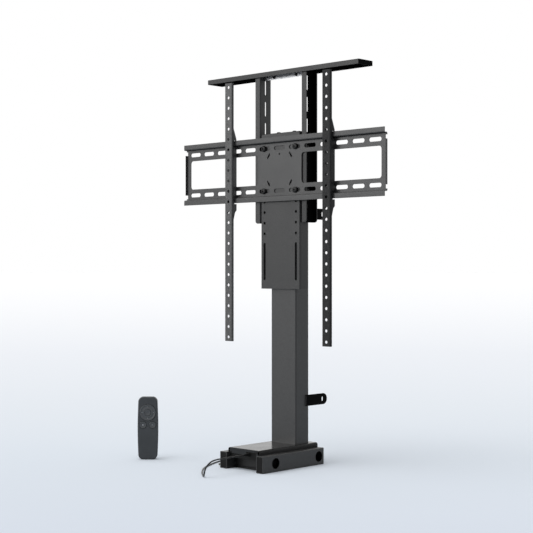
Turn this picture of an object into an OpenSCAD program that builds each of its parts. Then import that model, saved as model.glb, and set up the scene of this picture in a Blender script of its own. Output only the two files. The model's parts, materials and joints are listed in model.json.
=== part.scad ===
// Motorized lift stand for a television: a floor base, a telescoping column driven by a screw,
// a slotted mounting plate with two hook-on arms, and a raised lid plate that closes a cabinet.
// Millimetres. +X is the viewer's right, +Y is the rear, Z = 0 is the floor.
// The origin is the middle of the base's underside. The carriage is drawn fully lowered.

/* [Base] */
// Width over both base rails
base_w = 136; // [120:1:180]
// Length of the base rails, front to rear
base_len = 206; // [190:1:260]
// Width of each base rail
rail_w = 21; // [16:0.5:28]
// Height of each base rail
rail_h = 38.5; // [34:0.5:50]
// Wall of the base rails and crossbars
rail_wall = 2; // [1.5:0.1:3]
// Diameter of the round holes in the rails' outer faces
side_hole_d = 24.5; // [15:0.5:28]
// From the rail's front end to its front side hole
side_hole_front = 42; // [25:1:60]
// From the rail's rear end to its rear side hole
side_hole_rear = 17; // [16:1:60]
// Thickness of the floor plate that the column stands on
floor_t = 4; // [3:0.5:6]
// How far the front crossbar stands back from the rail ends
crossbar_setback = 30; // [20:1:40]
// Height of the crossbars above the floor plate
crossbar_h = 22; // [16:1:26]
// Depth of the front crossbar
crossbar_d = 20; // [12:1:26]

/* [Base cover] */
// Width of the base cover, which rests on the rails
cover_w = 100; // [96:1:130]
// Height of the cover above the rails
cover_h = 10.5; // [9:0.5:20]
// Sheet thickness of the cover
cover_t = 1.5; // [1:0.1:2]
// How far the cover's front edge stands back from the rail ends
cover_inset = 8.5; // [4:0.5:20]
// Height of the cover's front lip
cover_lip_h = 13; // [12:0.5:15]
// Width of the socket opening in the cover's front lip
socket_gap_w = 30; // [20:1:40]
// Sideways place of the socket opening
socket_gap_x = 23; // [-20:1:25]

/* [Column] */
// Width of the fixed outer column
column_w = 79; // [70:1:90]
// Depth of the fixed outer column
column_d = 46; // [42:1:60]
// Wall of the outer column
column_wall = 2; // [1.5:0.1:3]
// Height of the outer column above the floor plate
column_h = 751; // [700:1:800]
// From the column's rear face to the rear end of the base
column_rear = 20; // [12:1:30]
// Gap between the outer and the inner column, filled by glide pads
glide_gap = 1.6; // [1.2:0.1:3]
// Running clearance of the glide pads
glide_clear = 0.1; // [0.05:0.05:0.3]
// How far the inner column stands out of the outer one when lowered
inner_stub = 13; // [5:1:30]
// Lift travel
lift = 500; // [300:10:520]
// Thread diameter of the lift screw
screw_d = 12; // [10:0.5:16]
// Diameter of the motor
motor_d = 36; // [30:1:37]

/* [Wall tabs] */
// Reach of the wall tabs behind the column
tab_reach = 61; // [40:1:90]
// Height of each wall tab
tab_h = 26; // [20:1:34]
// Thickness of the wall tabs
tab_t = 3; // [2:0.5:5]
// Height of the lower tab's slot above the floor
tab_low_z = 149; // [100:1:250]
// Height of the upper tab's slot above the floor
tab_high_z = 586; // [400:1:680]
// Slot width in the wall tabs
tab_slot_w = 6.6; // [5:0.1:9]
// Slot length in the wall tabs, upright
tab_slot_len = 11.6; // [10:0.2:16]

/* [Carriage] */
// Width of the carriage plate
carriage_w = 124; // [118:1:130]
// Height of the carriage plate
carriage_h = 365; // [330:1:400]
// Sheet thickness of the carriage and mounting plates
plate_t = 2; // [1.5:0.1:3]
// Gap between the carriage plate and the front of the column
carriage_gap = 9; // [8:0.5:14]
// Depth of the carriage plate's folded edges
carriage_edge = 5.5; // [4:0.5:7]
// Pitch of the round holes down the carriage plate, and of the arms' holes
hole_pitch = 25; // [20:1:30]
// Diameter of the round holes in the carriage plate
carriage_hole_d = 6.6; // [5:0.1:8]
// Length of the two long slots low in the carriage plate
long_slot = 88; // [60:1:90]

/* [Mounting plate] */
// Length of the mounting plate
mount_w = 635; // [600:5:700]
// Height of the mounting plate
mount_h = 150; // [146:1:160]
// Bolt square at the middle of the mounting plate
bolt_square = 100; // [100:1:104]
// From the top of the carriage down to the middle of the mounting plate
mount_drop = 85.5; // [80:0.5:100]
// How far the two rails of the mounting plate stand forward
lip_out = 9; // [8:0.5:12]
// From the row of bolts out to the shelf that carries a rail
shelf_margin = 12; // [10:0.5:14]
// Pitch of the slots in the mounting plate
slot_pitch = 47.5; // [45:0.5:50]
// Length of each slot in the mounting plate
slot_len = 34.7; // [25:0.1:38]
// Width of each slot in the mounting plate
slot_w = 9.5; // [7:0.1:11]
// Height of the two windows in the mounting plate
window_h = 70.5; // [50:0.5:74]
// From the middle of the plate to a window's inner edge
window_in = 69; // [66:1:100]

/* [Uprights and lid] */
// Depth of the upright channels
upright_d = 38.4; // [34:0.2:44]
// Width of the upright channels' flanges
upright_flange = 15.5; // [10:0.5:20]
// Pitch of the slots up the channels
upright_slot_pitch = 50; // [45:1:60]
// Length of each slot in the channels
upright_slot_len = 35; // [34:0.5:40]
// Width of each slot in the channels
upright_slot_w = 6.6; // [6.4:0.1:8]
// Length of the lid plate
lid_w = 480; // [300:5:600]
// Depth of the lid plate, front to rear
lid_d = 50; // [46:1:80]
// Depth of the lid plate's folded rim
lid_rim = 11; // [8:0.5:14]
// From the carriage's top to the lid's top
lid_above = 145.5; // [120:0.5:200]

/* [Arms] */
// Length of each arm
arm_len = 620; // [520:10:700]
// Width of each arm
arm_w = 23; // [20:0.5:30]
// Depth of the arms' sides away from the hooks
arm_side = 6; // [5:0.5:8]
// From each end of an arm to its first hole, at least
arm_end = 10; // [8:0.5:20]
// Diameter of the holes in the arms
arm_hole_d = 7; // [5:0.1:9]
// Sideways place of the left arm
arm_left_x = -150; // [-300:1:-100]
// Sideways place of the right arm
arm_right_x = 160; // [100:1:300]
// From the middle of the mounting plate down to the middle of the arms
arm_drop = 96.5; // [60:0.5:120]

/* [Hand control] */
// Height of the hand control
hand_h = 150; // [120:1:170]
// Width of the hand control at its middle
hand_w = 49; // [48:0.5:60]
// Thickness of the hand control
hand_t = 18; // [15:0.5:24]
// Sideways place of the hand control
hand_x = -288; // [-320:1:-200]
// Front-to-rear place of the hand control
hand_y = -130; // [-150:1:-60]
// Turn of the hand control about the vertical
hand_turn = 43.6; // [0:0.1:90]
// Travel of the hand control's buttons
key_travel = 0.8; // [0.5:0.1:1.2]

/* [Power cord] */
// Diameter of the power cord
cord_d = 3.4; // [3:0.1:5]
// Turns in each layer of the coil
coil_turns = 3; // [2:1:4]
// Radius of the coil's outermost turn
coil_r = 27; // [24:0.5:34]

/* [Hidden] */
$fn = 48;

// Small clearances
gap = 0.2;          // between flat faces that slide or pass each other
fit = 0.3;          // round a piece that drops into an opening
run_fit = 0.05;     // radial clearance of a running shaft
bolt_fit = 0.4;     // on the diameter, round a bolt's shank
eps = 0.01;         // cutters run past the faces they cut

// Base
rail_x = base_w / 2 - rail_w;                       // inner face of the right rail
base_front = -base_len / 2;
base_rear = base_len / 2;
inner_w = 2 * rail_x;
bar_front = base_front + crossbar_setback;
cover_top = rail_h + cover_h;
cover_front = base_front + cover_inset;
cover_rear = base_rear - 1;
cover_bend = 4;                                     // inner bend radius of the cover
lip_bottom = cover_top - cover_lip_h;
cover_mid_x = (cover_w - cover_t) / 2;
cover_mid_z = cover_top - cover_t / 2;
socket_gap_top = cover_top - 6;

// Column
column_y = base_rear - column_rear - column_d / 2;
column_front = column_y - column_d / 2;
column_z = floor_t;
column_top = column_z + column_h;
corner_r = 4;
inner_wall = 2;
inner_w_out = column_w - 2 * (column_wall + glide_gap);
inner_d_out = column_d - 2 * (column_wall + glide_gap);
head_t = 5;
carriage_top = column_top + inner_stub + head_t + plate_t;
head_z = carriage_top - plate_t - head_t;
pad_h = 30;
nut_h = 30;
motor_len = 66;
gear_len = 34;
bearing_h = 12;
bearing_z = floor_t + motor_len + gear_len;
inner_bottom = bearing_z + bearing_h + 10;
screw_top = inner_bottom + nut_h + lift + 20;       // the nut stays on the thread at the top of the lift
nut_d = 30;
nut_flange = 8;
shaft_d = 8;

// Carriage, and the planes in front of it
carriage_back = column_front - carriage_gap;
carriage_front = carriage_back - plate_t;
carriage_bottom = carriage_top - carriage_h;
mount_front = carriage_front - plate_t;             // front face of the mounting plate's web
mount_z = carriage_top - mount_drop;
lip_front = mount_front - lip_out;
lip_h = (mount_h - bolt_square) / 2 - shelf_margin; // height of each rail
bend_r = 1;                                         // inner bend radius of the folded sheets
bend_steps = 5;
bracket_t = 2.5;
bracket_front = carriage_back + carriage_edge - plate_t;
bracket_out = carriage_w / 2 + 3.3;                 // outer face of the bracket's side wings
bracket_h = 140;
upright_in = bracket_out + gap;                     // inner face of the channel webs
upright_front = carriage_front + 1;
upright_mid = upright_front + upright_d / 2;
lid_top = carriage_top + lid_above;
lid_under = lid_top - plate_t;
upright_bottom = mount_z - 125.5;
first_slot = lid_under - 31.5;
bolt_slots = [3, 5];                                // channel slots that hold the bracket's bolts
bolt_d = 6;
bolt_head_d = 12;
bolt_head_h = 3.6;
plate_bolt_head_d = 13;
plate_bolt_head_h = 4.5;
bolt_rows = round(bolt_square / hole_pitch);
hole_rows = bolt_rows + 5;                          // four of them pass below the mounting plate
long_slot_top = mount_z - bolt_square / 2 - 4.85 * hole_pitch;
slot_row = 50;                                      // from the plate's middle to each row of slots
slot_end = 14;                                      // least web past the last slot
mount_slots = floor((mount_w / 2 - slot_end - slot_len / 2) / slot_pitch);
end_flange_inset = 25.5;                            // from the plate's top edge to its side flanges
end_flange_d = 6.5;
notch_h = 9;
window_out = mount_slots * slot_pitch + slot_len / 2;
shelf_z = mount_h / 2 - lip_h + plate_t;            // top of the shelf that carries a rail

// Arms
arm_t = 2;
arm_holes = floor((arm_len - 2 * arm_end) / hole_pitch) + 1;
arm_front = lip_front - 9;
arm_z = mount_z - arm_drop;
hook_depth = 16;

// Hand control
split = 8;                                          // depth of the front shell
hand_wall = 1.6;
ring_z = hand_h - 37.5;
pair_z = hand_h - 67;
pair_x = 11.4;
ring_r = 19.6;
centre_r = 7.6;
key_r = 8.2;
key_out = 1;                                        // how far the keys stand proud
key_gap = 0.3;

// Cord
cord_exit = [14, cover_front + 1.5, 37.5];
gland_len = 14;
gland_front = cord_exit[1] - gland_len;
route = [[14, -122, 37.5], [14, -140, 37.5], [14, -158, 37.5], [14, -176, 37.3],
    [14, -192, 36.9], [14, -206, 35.2], [13.5, -217, 30.5], [12.5, -224, 23.5], [11, -227, 15.5],
    [8, -226, 8.2], [2, -221.5, 3.4], [-7, -214.5, 1.8], [-19, -205, 1.8], [-34, -192, 1.8], [-51, -176, 1.8],
    [-68, -158, 1.8], [-84, -138, 1.8], [-98, -116, 1.8], [-111, -92, 1.8], [-123, -66, 1.8],
    [-132, -42, 1.8], [-137.5, -22, 1.8], [-139, -7.4, 1.8]];
coil_centre = [-112, -4];
coil_pitch = cord_d + 1;
tail_route = [[0, 0, 0], [0, -6, 0], [0.5, -13, -0.2], [1.5, -21, -0.6], [2, -29, -1], [2, -37, -1.2],
    [2, -42, -1.2]];

// A profile drawn in (Y, Z) and run along X
module along_x(from, length)
    translate([from, 0, 0]) rotate([90, 0, 90]) linear_extrude(length) children();

// A profile drawn in (X, Z) and run along Y
module along_y(from, length)
    translate([0, from + length, 0]) rotate([90, 0, 0]) linear_extrude(length) children();

// A profile drawn in (X, Y) and run along Z
module along_z(from, length)
    translate([0, 0, from]) linear_extrude(length) children();

// A round-ended slot, long in its first direction
module slot(length, width) {
    square([length - width, width], center = true);
    for (side = [-1, 1]) translate([side * (length - width) / 2, 0]) circle(d = width);
}

// A rectangle with round corners
module soft_rect(w, h, r) {
    square([w - 2 * r, h], center = true);
    square([w, h - 2 * r], center = true);
    for (x = [-1, 1], y = [-1, 1]) translate([x * (w / 2 - r), y * (h / 2 - r)]) circle(r = r);
}

function unit(v) = v / norm(v);

function arc(c, r, from, turn) = [for (k = [0:bend_steps]) let (a = from + turn * k / bend_steps)
    c + r * [cos(a), sin(a)]];

// One face of a folded sheet: side is 1 on the left of the path and -1 on its right
function sheet_face(p, t, r, side) = let (last = len(p) - 1, run = [for (i = [1:last]) unit(p[i] - p[i - 1])],
        first_out = [-run[0][1], run[0][0]], last_out = [-run[last - 1][1], run[last - 1][0]])
    concat([p[0] + first_out * side * t / 2],
        [for (i = [1:last - 1]) let (d1 = run[i - 1], d2 = run[i], turn = sign(cross(d1, d2)))
            each arc(p[i] + (d2 - d1) * (r + t / 2), r + t / 2 - side * turn * t / 2,
                atan2(-d2[1], -d2[0]), turn * 90)],
        [p[last] + last_out * side * t / 2]);

function reversed(v) = [for (i = [len(v) - 1:-1:0]) v[i]];

// Folded sheet seen on edge: a centre line with right-angle bends of inner radius r
module folded(points, t, r)
    polygon(concat(sheet_face(points, t, r, 1), reversed(sheet_face(points, t, r, -1))));

// A low domed screw head on a shank, head at the origin, shank towards +Z
module bolt(head_d, head_h, shank_d, shank_len) {
    rotate_extrude() {
        intersection() {
            translate([0, -head_h]) square([head_d / 2, head_h]);
            translate([0, head_d * 0.62 - head_h]) circle(r = head_d * 0.62, $fn = 96);
        }
        square([shank_d / 2, shank_len]);
    }
}

module left_right(x) for (side = [-1, 1]) translate([side * x, 0, 0]) children();

// Base

module base_rail() {
    difference() {
        along_y(base_front, base_len) translate([rail_x + rail_w / 2, rail_h / 2]) difference() {
            soft_rect(rail_w, rail_h, rail_wall);
            square([rail_w - 2 * rail_wall, rail_h - 2 * rail_wall], center = true);
        }
        for (y = [base_front + side_hole_front, base_rear - side_hole_rear])
            translate([base_w / 2 - rail_wall - 1, y, rail_h / 2]) rotate([0, 90, 0])
                cylinder(d = side_hole_d, h = rail_wall + 2);
    }
}

module base_rail_right() color([0.17, 0.17, 0.17]) base_rail();
module base_rail_left() color([0.17, 0.17, 0.17]) mirror([1, 0, 0]) base_rail();

module base_floor_plate() color([0.14, 0.14, 0.14])
    along_z(0, floor_t) translate([0, (bar_front + base_rear) / 2])
        square([inner_w, base_rear - bar_front], center = true);

module crossbar(y, depth) color([0.15, 0.15, 0.15])
    along_x(-rail_x, inner_w) translate([y + depth / 2, floor_t + crossbar_h / 2]) difference() {
        soft_rect(depth, crossbar_h, rail_wall);
        square([depth - 2 * rail_wall, crossbar_h - 2 * rail_wall], center = true);
    }

module front_crossbar() crossbar(bar_front, crossbar_d);
module rear_crossbar() crossbar(base_rear - column_rear, column_rear);

module rail_end_plugs() color([0.1, 0.1, 0.1])
    for (x = [-1, 1], end = [-1, 1])
        translate([x * (rail_x + rail_w / 2), end * (base_len / 2 - 3), rail_h / 2])
            cube([rail_w - 2 * rail_wall, 6, rail_h - 2 * rail_wall], center = true);

// Cover: one sheet with rolled long edges, a front lip and the column's opening
module base_cover() color([0.55, 0.55, 0.55])
    difference() {
        union() {
            along_y(cover_front, cover_rear - cover_front)
                folded([[-cover_mid_x, rail_h], [-cover_mid_x, cover_mid_z],
                    [cover_mid_x, cover_mid_z], [cover_mid_x, rail_h]], cover_t, cover_bend);
            translate([-cover_w / 2 + cover_bend + cover_t, cover_front, rail_h])
                cube([cover_w - 2 * (cover_bend + cover_t), cover_t, cover_h - cover_t / 2]);
            translate([-rail_x + gap, cover_front, lip_bottom])
                cube([inner_w - 2 * gap, cover_t, rail_h - lip_bottom + eps]);
        }
        translate([-column_w / 2 - fit, column_front - fit, rail_h])
            cube([column_w + 2 * fit, column_d + 2 * fit, cover_h + 1]);
        translate([socket_gap_x - socket_gap_w / 2, cover_front - 1, lip_bottom - 1])
            cube([socket_gap_w, cover_t + 2, socket_gap_top - lip_bottom + 1]);
    }

box_back = column_front - 4;
box_front = cover_front + cover_t + 0.5;
box_bottom = floor_t + crossbar_h;
box_top = cover_top - cover_t - 0.5;

module control_box() color([0.07, 0.07, 0.07])
    difference() {
        translate([-rail_x + 5, box_front, box_bottom])
            cube([inner_w - 10, box_back - box_front, box_top - box_bottom]);
        translate([-rail_x + 7, box_front + 2, box_bottom + 2])
            cube([inner_w - 14, box_back - box_front - 4, box_top - box_bottom - 4]);
        translate([cord_exit[0], box_front - 1, cord_exit[2]]) rotate([-90, 0, 0]) cylinder(d = 7, h = 4);
    }

module control_board() color([0.1, 0.3, 0.15])
    translate([-rail_x + 9, box_front + 4, box_bottom + 2])
        cube([inner_w - 18, box_back - box_front - 10, 1.6]);

// Gland: a socket collar that narrows towards the cord
module cord_gland() color([0.05, 0.05, 0.05])
    translate([cord_exit[0], box_front + 2.5, cord_exit[2]]) rotate([90, 0, 0]) rotate_extrude()
        polygon([[0, 0], [3.3, 0], [3.3, 2.5], [4.6, 2.5], [4.6, 5], [3.6, 6],
            [2.4, box_front + 2.5 - gland_front], [0, box_front + 2.5 - gland_front]]);

// Column

module tube_2d(w, d, wall, r) difference() {
    soft_rect(w, d, r);
    tube_bore(w, d, wall, r);
}

module tube_bore(w, d, wall, r) soft_rect(w - 2 * wall, d - 2 * wall, r - wall + 0.5);

module column_outer() color([0.2, 0.2, 0.2])
    translate([0, column_y, 0]) along_z(column_z, column_h)
        tube_2d(column_w, column_d, column_wall, corner_r);

// Glide pads fill the gap between the two tubes on all four faces
module pads(from, outer, inner) {
    for (side = [-1, 1]) {
        translate([side * (outer[0] + inner[0]) / 4, column_y, from + pad_h / 2])
            cube([(outer[0] - inner[0]) / 2, inner[1] - 16, pad_h], center = true);
        translate([0, column_y + side * (outer[1] + inner[1]) / 4, from + pad_h / 2])
            cube([inner[0] - 16, (outer[1] - inner[1]) / 2, pad_h], center = true);
    }
}

cavity = [column_w - 2 * column_wall, column_d - 2 * column_wall];
inner_size = [inner_w_out, inner_d_out];

module upper_glide_pads() color([0.85, 0.85, 0.82])
    pads(column_top - pad_h - 2, cavity, inner_size + [2, 2] * glide_clear);
module lower_glide_pads() color([0.85, 0.85, 0.82])
    pads(inner_bottom + 1, cavity - [2, 2] * glide_clear, inner_size);

module motor() color([0.3, 0.3, 0.32])
    translate([0, column_y, 0]) {
        translate([0, 0, floor_t]) cylinder(d = motor_d, h = motor_len - 4);
        translate([0, 0, floor_t + motor_len - 4]) cylinder(d = motor_d - 6, h = 4);
    }

module gearbox() color([0.55, 0.55, 0.57])
    translate([0, column_y, floor_t + motor_len]) difference() {
        cylinder(d = motor_d, h = gear_len);
        translate([0, 0, gear_len - 8]) cylinder(d = 16, h = 9);
    }

module screw_bearing() color([0.7, 0.7, 0.7])
    translate([0, column_y, bearing_z]) difference() {
        union() {
            cylinder(d = motor_d, h = 4);
            cylinder(d = 28, h = bearing_h);
        }
        translate([0, 0, -1]) cylinder(d = shaft_d + 2 * run_fit, h = bearing_h + 2);
    }

// Screw: a plain journal in the bearing, a flange over it and the threaded length above
module lift_screw() color([0.75, 0.75, 0.77])
    translate([0, column_y, 0]) {
        translate([0, 0, bearing_z - 5]) cylinder(d = shaft_d, h = bearing_h + 5 + gap);
        translate([0, 0, bearing_z + bearing_h + gap]) cylinder(d = screw_d + 4, h = 3);
        translate([0, 0, bearing_z + bearing_h + gap + 3])
            cylinder(d = screw_d, h = screw_top - bearing_z - bearing_h - gap - 3);
    }

module column_inner() color([0.16, 0.16, 0.16])
    translate([0, column_y, 0]) along_z(inner_bottom, head_z - inner_bottom)
        tube_2d(inner_w_out, inner_d_out, inner_wall, corner_r - 1);

module drive_nut() color([0.9, 0.88, 0.8])
    translate([0, column_y, inner_bottom]) difference() {
        union() {
            linear_extrude(nut_flange) tube_bore(inner_w_out, inner_d_out, inner_wall, corner_r - 1);
            cylinder(d = nut_d, h = nut_h);
        }
        translate([0, 0, -1]) cylinder(d = screw_d + 2 * run_fit, h = nut_h + 2);
    }

module column_head() color([0.2, 0.2, 0.2])
    difference() {
        translate([0, column_y, 0]) along_z(head_z, head_t) soft_rect(inner_w_out, inner_d_out, corner_r - 1);
        head_screw_places() translate([0, 0, head_z - 1]) cylinder(d = head_screw_d + bolt_fit, h = head_t + 2);
    }

// Four screws through the carriage's top flange into the head
head_screw_d = 4;
head_screw_x = 25;
head_screw_y = 11.5;
module head_screw_places()
    for (x = [-1, 1], y = [-1, 1]) translate([x * head_screw_x, column_y + y * head_screw_y, 0]) children();

module head_screws() color([0.25, 0.25, 0.25])
    head_screw_places() translate([0, 0, carriage_top]) rotate([180, 0, 0])
        bolt(9, 2.6, head_screw_d, plate_t + head_t);

// A wall tab: a strip on the column's side with a round end and an upright slot
module wall_tab(z) color([0.1, 0.1, 0.1])
    difference() {
        along_x(column_w / 2, tab_t) {
            front = column_y + column_d / 2 - 12;
            tip = column_y + column_d / 2 + tab_reach;
            translate([front, z - tab_h / 2]) square([tip - tab_h / 2 - front, tab_h]);
            translate([tip - tab_h / 2, z]) circle(d = tab_h);
        }
        tab_cut(z);
    }

tab_slot_y = column_y + column_d / 2 + tab_reach - 15.6;
module tab_cut(z)
    along_x(column_w / 2 - 1, tab_t + 2) translate([tab_slot_y, z]) rotate(90) slot(tab_slot_len, tab_slot_w);

module wall_tab_low_right() wall_tab(tab_low_z);
module wall_tab_high_right() wall_tab(tab_high_z);
module wall_tab_low_left() mirror([1, 0, 0]) wall_tab(tab_low_z);
module wall_tab_high_left() mirror([1, 0, 0]) wall_tab(tab_high_z);

// Carriage

plate_hole_x = bolt_square / 2;
module carriage_plate() color([0.3, 0.3, 0.3])
    difference() {
        union() {
            along_z(carriage_bottom, carriage_h - plate_t - bend_r) carriage_section();
            intersection() {
                along_z(carriage_top - plate_t - bend_r, plate_t + bend_r)
                    translate([-carriage_w / 2, carriage_front])
                        square([carriage_w, column_y + column_d / 2 - 4 - carriage_front]);
                along_x(-carriage_w / 2 + 4, carriage_w - 8)
                    folded([[carriage_front + plate_t / 2, carriage_bottom],
                        [carriage_front + plate_t / 2, carriage_top - plate_t / 2],
                        [column_y + column_d / 2 - 4, carriage_top - plate_t / 2]], plate_t, bend_r);
            }
        }
        for (x = [-1, 1], i = [0:hole_rows - 1])
            plate_cut(x * plate_hole_x, mount_z + bolt_square / 2 - i * hole_pitch)
                circle(d = carriage_hole_d);
        for (x = [-1, 1]) plate_cut(x * plate_hole_x, long_slot_top - long_slot / 2)
            rotate(90) slot(long_slot, carriage_hole_d);
        head_screw_places() translate([0, 0, carriage_top - plate_t - 1])
            cylinder(d = head_screw_d + bolt_fit, h = plate_t + 2);
    }

module carriage_section() {
    x = carriage_w / 2 - plate_t / 2;
    y = carriage_front + plate_t / 2;
    folded([[-x, carriage_back + carriage_edge - plate_t], [-x, y], [x, y],
        [x, carriage_back + carriage_edge - plate_t]], plate_t, bend_r);
}

module plate_cut(x, z) translate([x, 0, z]) along_y(mount_front - 1, 3 * plate_t + 2) children();

// U-shaped bracket behind the carriage plate, whose side wings carry the uprights
module lid_bracket() color([0.2, 0.2, 0.2])
    difference() {
        along_z(mount_z - bracket_h / 2, bracket_h)
            folded([[-bracket_out + bracket_t / 2, upright_front + upright_d - 3],
                [-bracket_out + bracket_t / 2, bracket_front + bracket_t / 2],
                [bracket_out - bracket_t / 2, bracket_front + bracket_t / 2],
                [bracket_out - bracket_t / 2, upright_front + upright_d - 3]], bracket_t, bend_r);
        for (k = bolt_slots) translate([-bracket_out - 1, upright_mid, slot_z(k)])
            rotate([0, 90, 0]) cylinder(d = bolt_d + bolt_fit, h = 2 * bracket_out + 2);
        for (x = [-1, 1], z = [-1, 1])
            translate([x * plate_hole_x, bracket_front - 1, mount_z + z * bolt_square / 2])
                rotate([-90, 0, 0]) cylinder(d = 12, h = bracket_t + 2);
    }

function slot_z(k) = first_slot - k * upright_slot_pitch;

// Press nuts in the carriage plate for the four plate bolts
module press_nuts() color([0.6, 0.6, 0.6])
    for (x = [-1, 1], z = [-1, 1])
        translate([x * plate_hole_x, carriage_back, mount_z + z * bolt_square / 2]) rotate([-90, 0, 0])
            difference() {
                cylinder(d = 10.5, h = carriage_edge - plate_t + 1.5);
                translate([0, 0, -1]) cylinder(d = bolt_d, h = carriage_edge + 3);
            }

module plate_bolts() color([0.06, 0.06, 0.06])
    for (x = [-1, 1], z = [-1, 1])
        translate([x * plate_hole_x, mount_front, mount_z + z * bolt_square / 2]) rotate([-90, 0, 0])
            bolt(plate_bolt_head_d, plate_bolt_head_h, bolt_d, 2 * plate_t + carriage_edge - plate_t + 1);

// Mounting plate: slotted web with two windows, side flanges, and two rails folded forward
module mounting_plate() color([0.3, 0.3, 0.3])
    difference() {
        union() {
            along_x(-mount_w / 2, mount_w) mount_section();
            for (side = [-1, 1])
                along_z(mount_z - mount_h / 2 + end_flange_inset, mount_h - 2 * end_flange_inset)
                    folded([[side * (mount_w / 2 - slot_end), mount_front + plate_t / 2],
                        [side * (mount_w / 2 - plate_t / 2), mount_front + plate_t / 2],
                        [side * (mount_w / 2 - plate_t / 2), mount_front + plate_t - end_flange_d]],
                        plate_t, bend_r);
        }
        for (x = [-1, 1]) {
            web_cut((window_in + window_out) / 2 * x, 0) soft_rect(window_out - window_in, window_h, 7);
            for (z = [-1, 1]) corner_notch(x, z);
        }
        for (i = [-mount_slots:mount_slots], z = [-1, 1])
            web_cut(i * slot_pitch, z * slot_row) slot(slot_len, slot_w);
        for (x = [-1, 1], z = [-1, 1])
            web_cut(x * plate_hole_x, z * bolt_square / 2) circle(d = bolt_d + 0.6);
        for (a = [45:90:315]) web_cut(0, 0) rotate(a) translate([47, 0]) rotate(90) slot(15, 4.5);
        web_cut(0, 35.5) circle(d = 5);
    }

module web_cut(x, z) translate([x, 0, mount_z + z]) along_y(mount_front - 1, plate_t + 2) children();

// Relief notch between a side flange and a rail: the web stops short of the plate's end there
module corner_notch(x, z)
    translate([x * (mount_w / 2 + 0.5), mount_front + plate_t / 2,
        mount_z + z * (mount_h / 2 - end_flange_inset + notch_h / 2)])
        cube([10, 14, notch_h], center = true);

module mount_section() translate([0, mount_z]) {
    y0 = lip_front + plate_t / 2;
    y1 = mount_front + plate_t / 2;
    z0 = mount_h / 2;
    z1 = shelf_z - plate_t / 2;
    folded([[y0, z0], [y0, z1], [y1, z1], [y1, -z1], [y0, -z1], [y0, -z0]], plate_t, bend_r);
}

// Bolts through the channels' slots and the bracket's wings
module channel_bolts() color([0.15, 0.15, 0.15])
    for (side = [-1, 1], k = bolt_slots)
        translate([side * (upright_in + plate_t + gap), upright_mid, slot_z(k)]) rotate([0, -side * 90, 0])
            bolt(bolt_head_d, bolt_head_h, bolt_d, plate_t + 2 * gap + bracket_t + 5.5);

module channel_nuts() color([0.6, 0.6, 0.6])
    for (side = [-1, 1], k = bolt_slots)
        translate([side * (bracket_out - bracket_t), upright_mid, slot_z(k)]) rotate([0, -side * 90, 0])
            difference() {
                cylinder(d = 11.5, h = 5, $fn = 6);
                translate([0, 0, -1]) cylinder(d = bolt_d, h = 8);
            }

// Upright: a channel open to the outside, slotted in its web, its lower flange corners rounded
module upright() color([0.3, 0.3, 0.3])
    difference() {
        along_z(upright_bottom, lid_under - upright_bottom) {
            far = upright_in + upright_flange;
            x = upright_in + plate_t / 2;
            y0 = upright_front + plate_t / 2;
            y1 = upright_front + upright_d - plate_t / 2;
            folded([[far, y0], [x, y0], [x, y1], [far, y1]], plate_t, bend_r);
        }
        for (k = [0:6]) along_x(upright_in - 1, plate_t + 2)
            translate([upright_mid, slot_z(k)]) rotate(90) slot(upright_slot_len, upright_slot_w);
        along_y(upright_front - 1, upright_d + 2)
            translate([upright_in + upright_flange, upright_bottom]) difference() {
                translate([-7, -1]) square([8, 8]);
                translate([-7, 7]) circle(r = 7);
            }
    }

module upright_right() upright();
module upright_left() mirror([1, 0, 0]) upright();

// Angle between the channels, which the lid's two tabs are screwed to
tie_setback = 16.5;                                 // from the channels' front to the angle's
tie_h = 14.5;
tie_d = 14;
tie_front = upright_front + tie_setback;
tie_z = lid_under - tie_h;
tie_screw_x = 35;
tie_screw_z = lid_under - 0.65 * tie_h;
lid_tab_w = 20;
module tie_bar() color([0.6, 0.6, 0.6])
    difference() {
        along_x(-upright_in, 2 * upright_in)
            folded([[tie_front + plate_t / 2, tie_z], [tie_front + plate_t / 2, lid_under - plate_t / 2],
                [tie_front + plate_t - tie_d, lid_under - plate_t / 2]], plate_t, bend_r);
        left_right(tie_screw_x) translate([0, tie_front - 1, tie_screw_z]) rotate([-90, 0, 0])
            cylinder(d = 4, h = plate_t + 2);
    }

// Lid plate: a tray turned upside down, with two tabs behind the tie bar
lid_front = upright_front - 5;
module lid_plate() color([0.3, 0.3, 0.3])
    difference() {
        union() {
            along_z(lid_top - lid_rim, lid_rim) translate([0, lid_front + lid_d / 2])
                soft_rect(lid_w, lid_d, plate_t);
            left_right(tie_screw_x) translate([-lid_tab_w / 2, tie_front + plate_t, tie_z + 1])
                cube([lid_tab_w, plate_t, tie_h]);
        }
        difference() {
            translate([-lid_w / 2 + plate_t, lid_front + plate_t, lid_top - lid_rim - 1])
                cube([lid_w - 2 * plate_t, lid_d - 2 * plate_t, lid_rim + 1 - plate_t]);
            left_right(tie_screw_x) translate([-lid_tab_w / 2, tie_front + plate_t, tie_z])
                cube([lid_tab_w, plate_t, tie_h + plate_t]);
        }
        left_right(tie_screw_x) translate([0, tie_front, tie_screw_z]) rotate([-90, 0, 0])
            cylinder(d = 4, h = 2 * plate_t + 1);
    }

module lid_screws() color([0.06, 0.06, 0.06])
    left_right(tie_screw_x) translate([0, tie_front, tie_screw_z]) rotate([-90, 0, 0])
        bolt(7.5, 2.2, 4, 2 * plate_t + 3.5);

module lid_nuts() color([0.6, 0.6, 0.6])
    left_right(tie_screw_x) translate([0, tie_front + 2 * plate_t, tie_screw_z]) rotate([-90, 0, 0])
        difference() {
            cylinder(d = 8, h = 3.2, $fn = 6);
            translate([0, 0, -1]) cylinder(d = 4, h = 6);
        }

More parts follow.
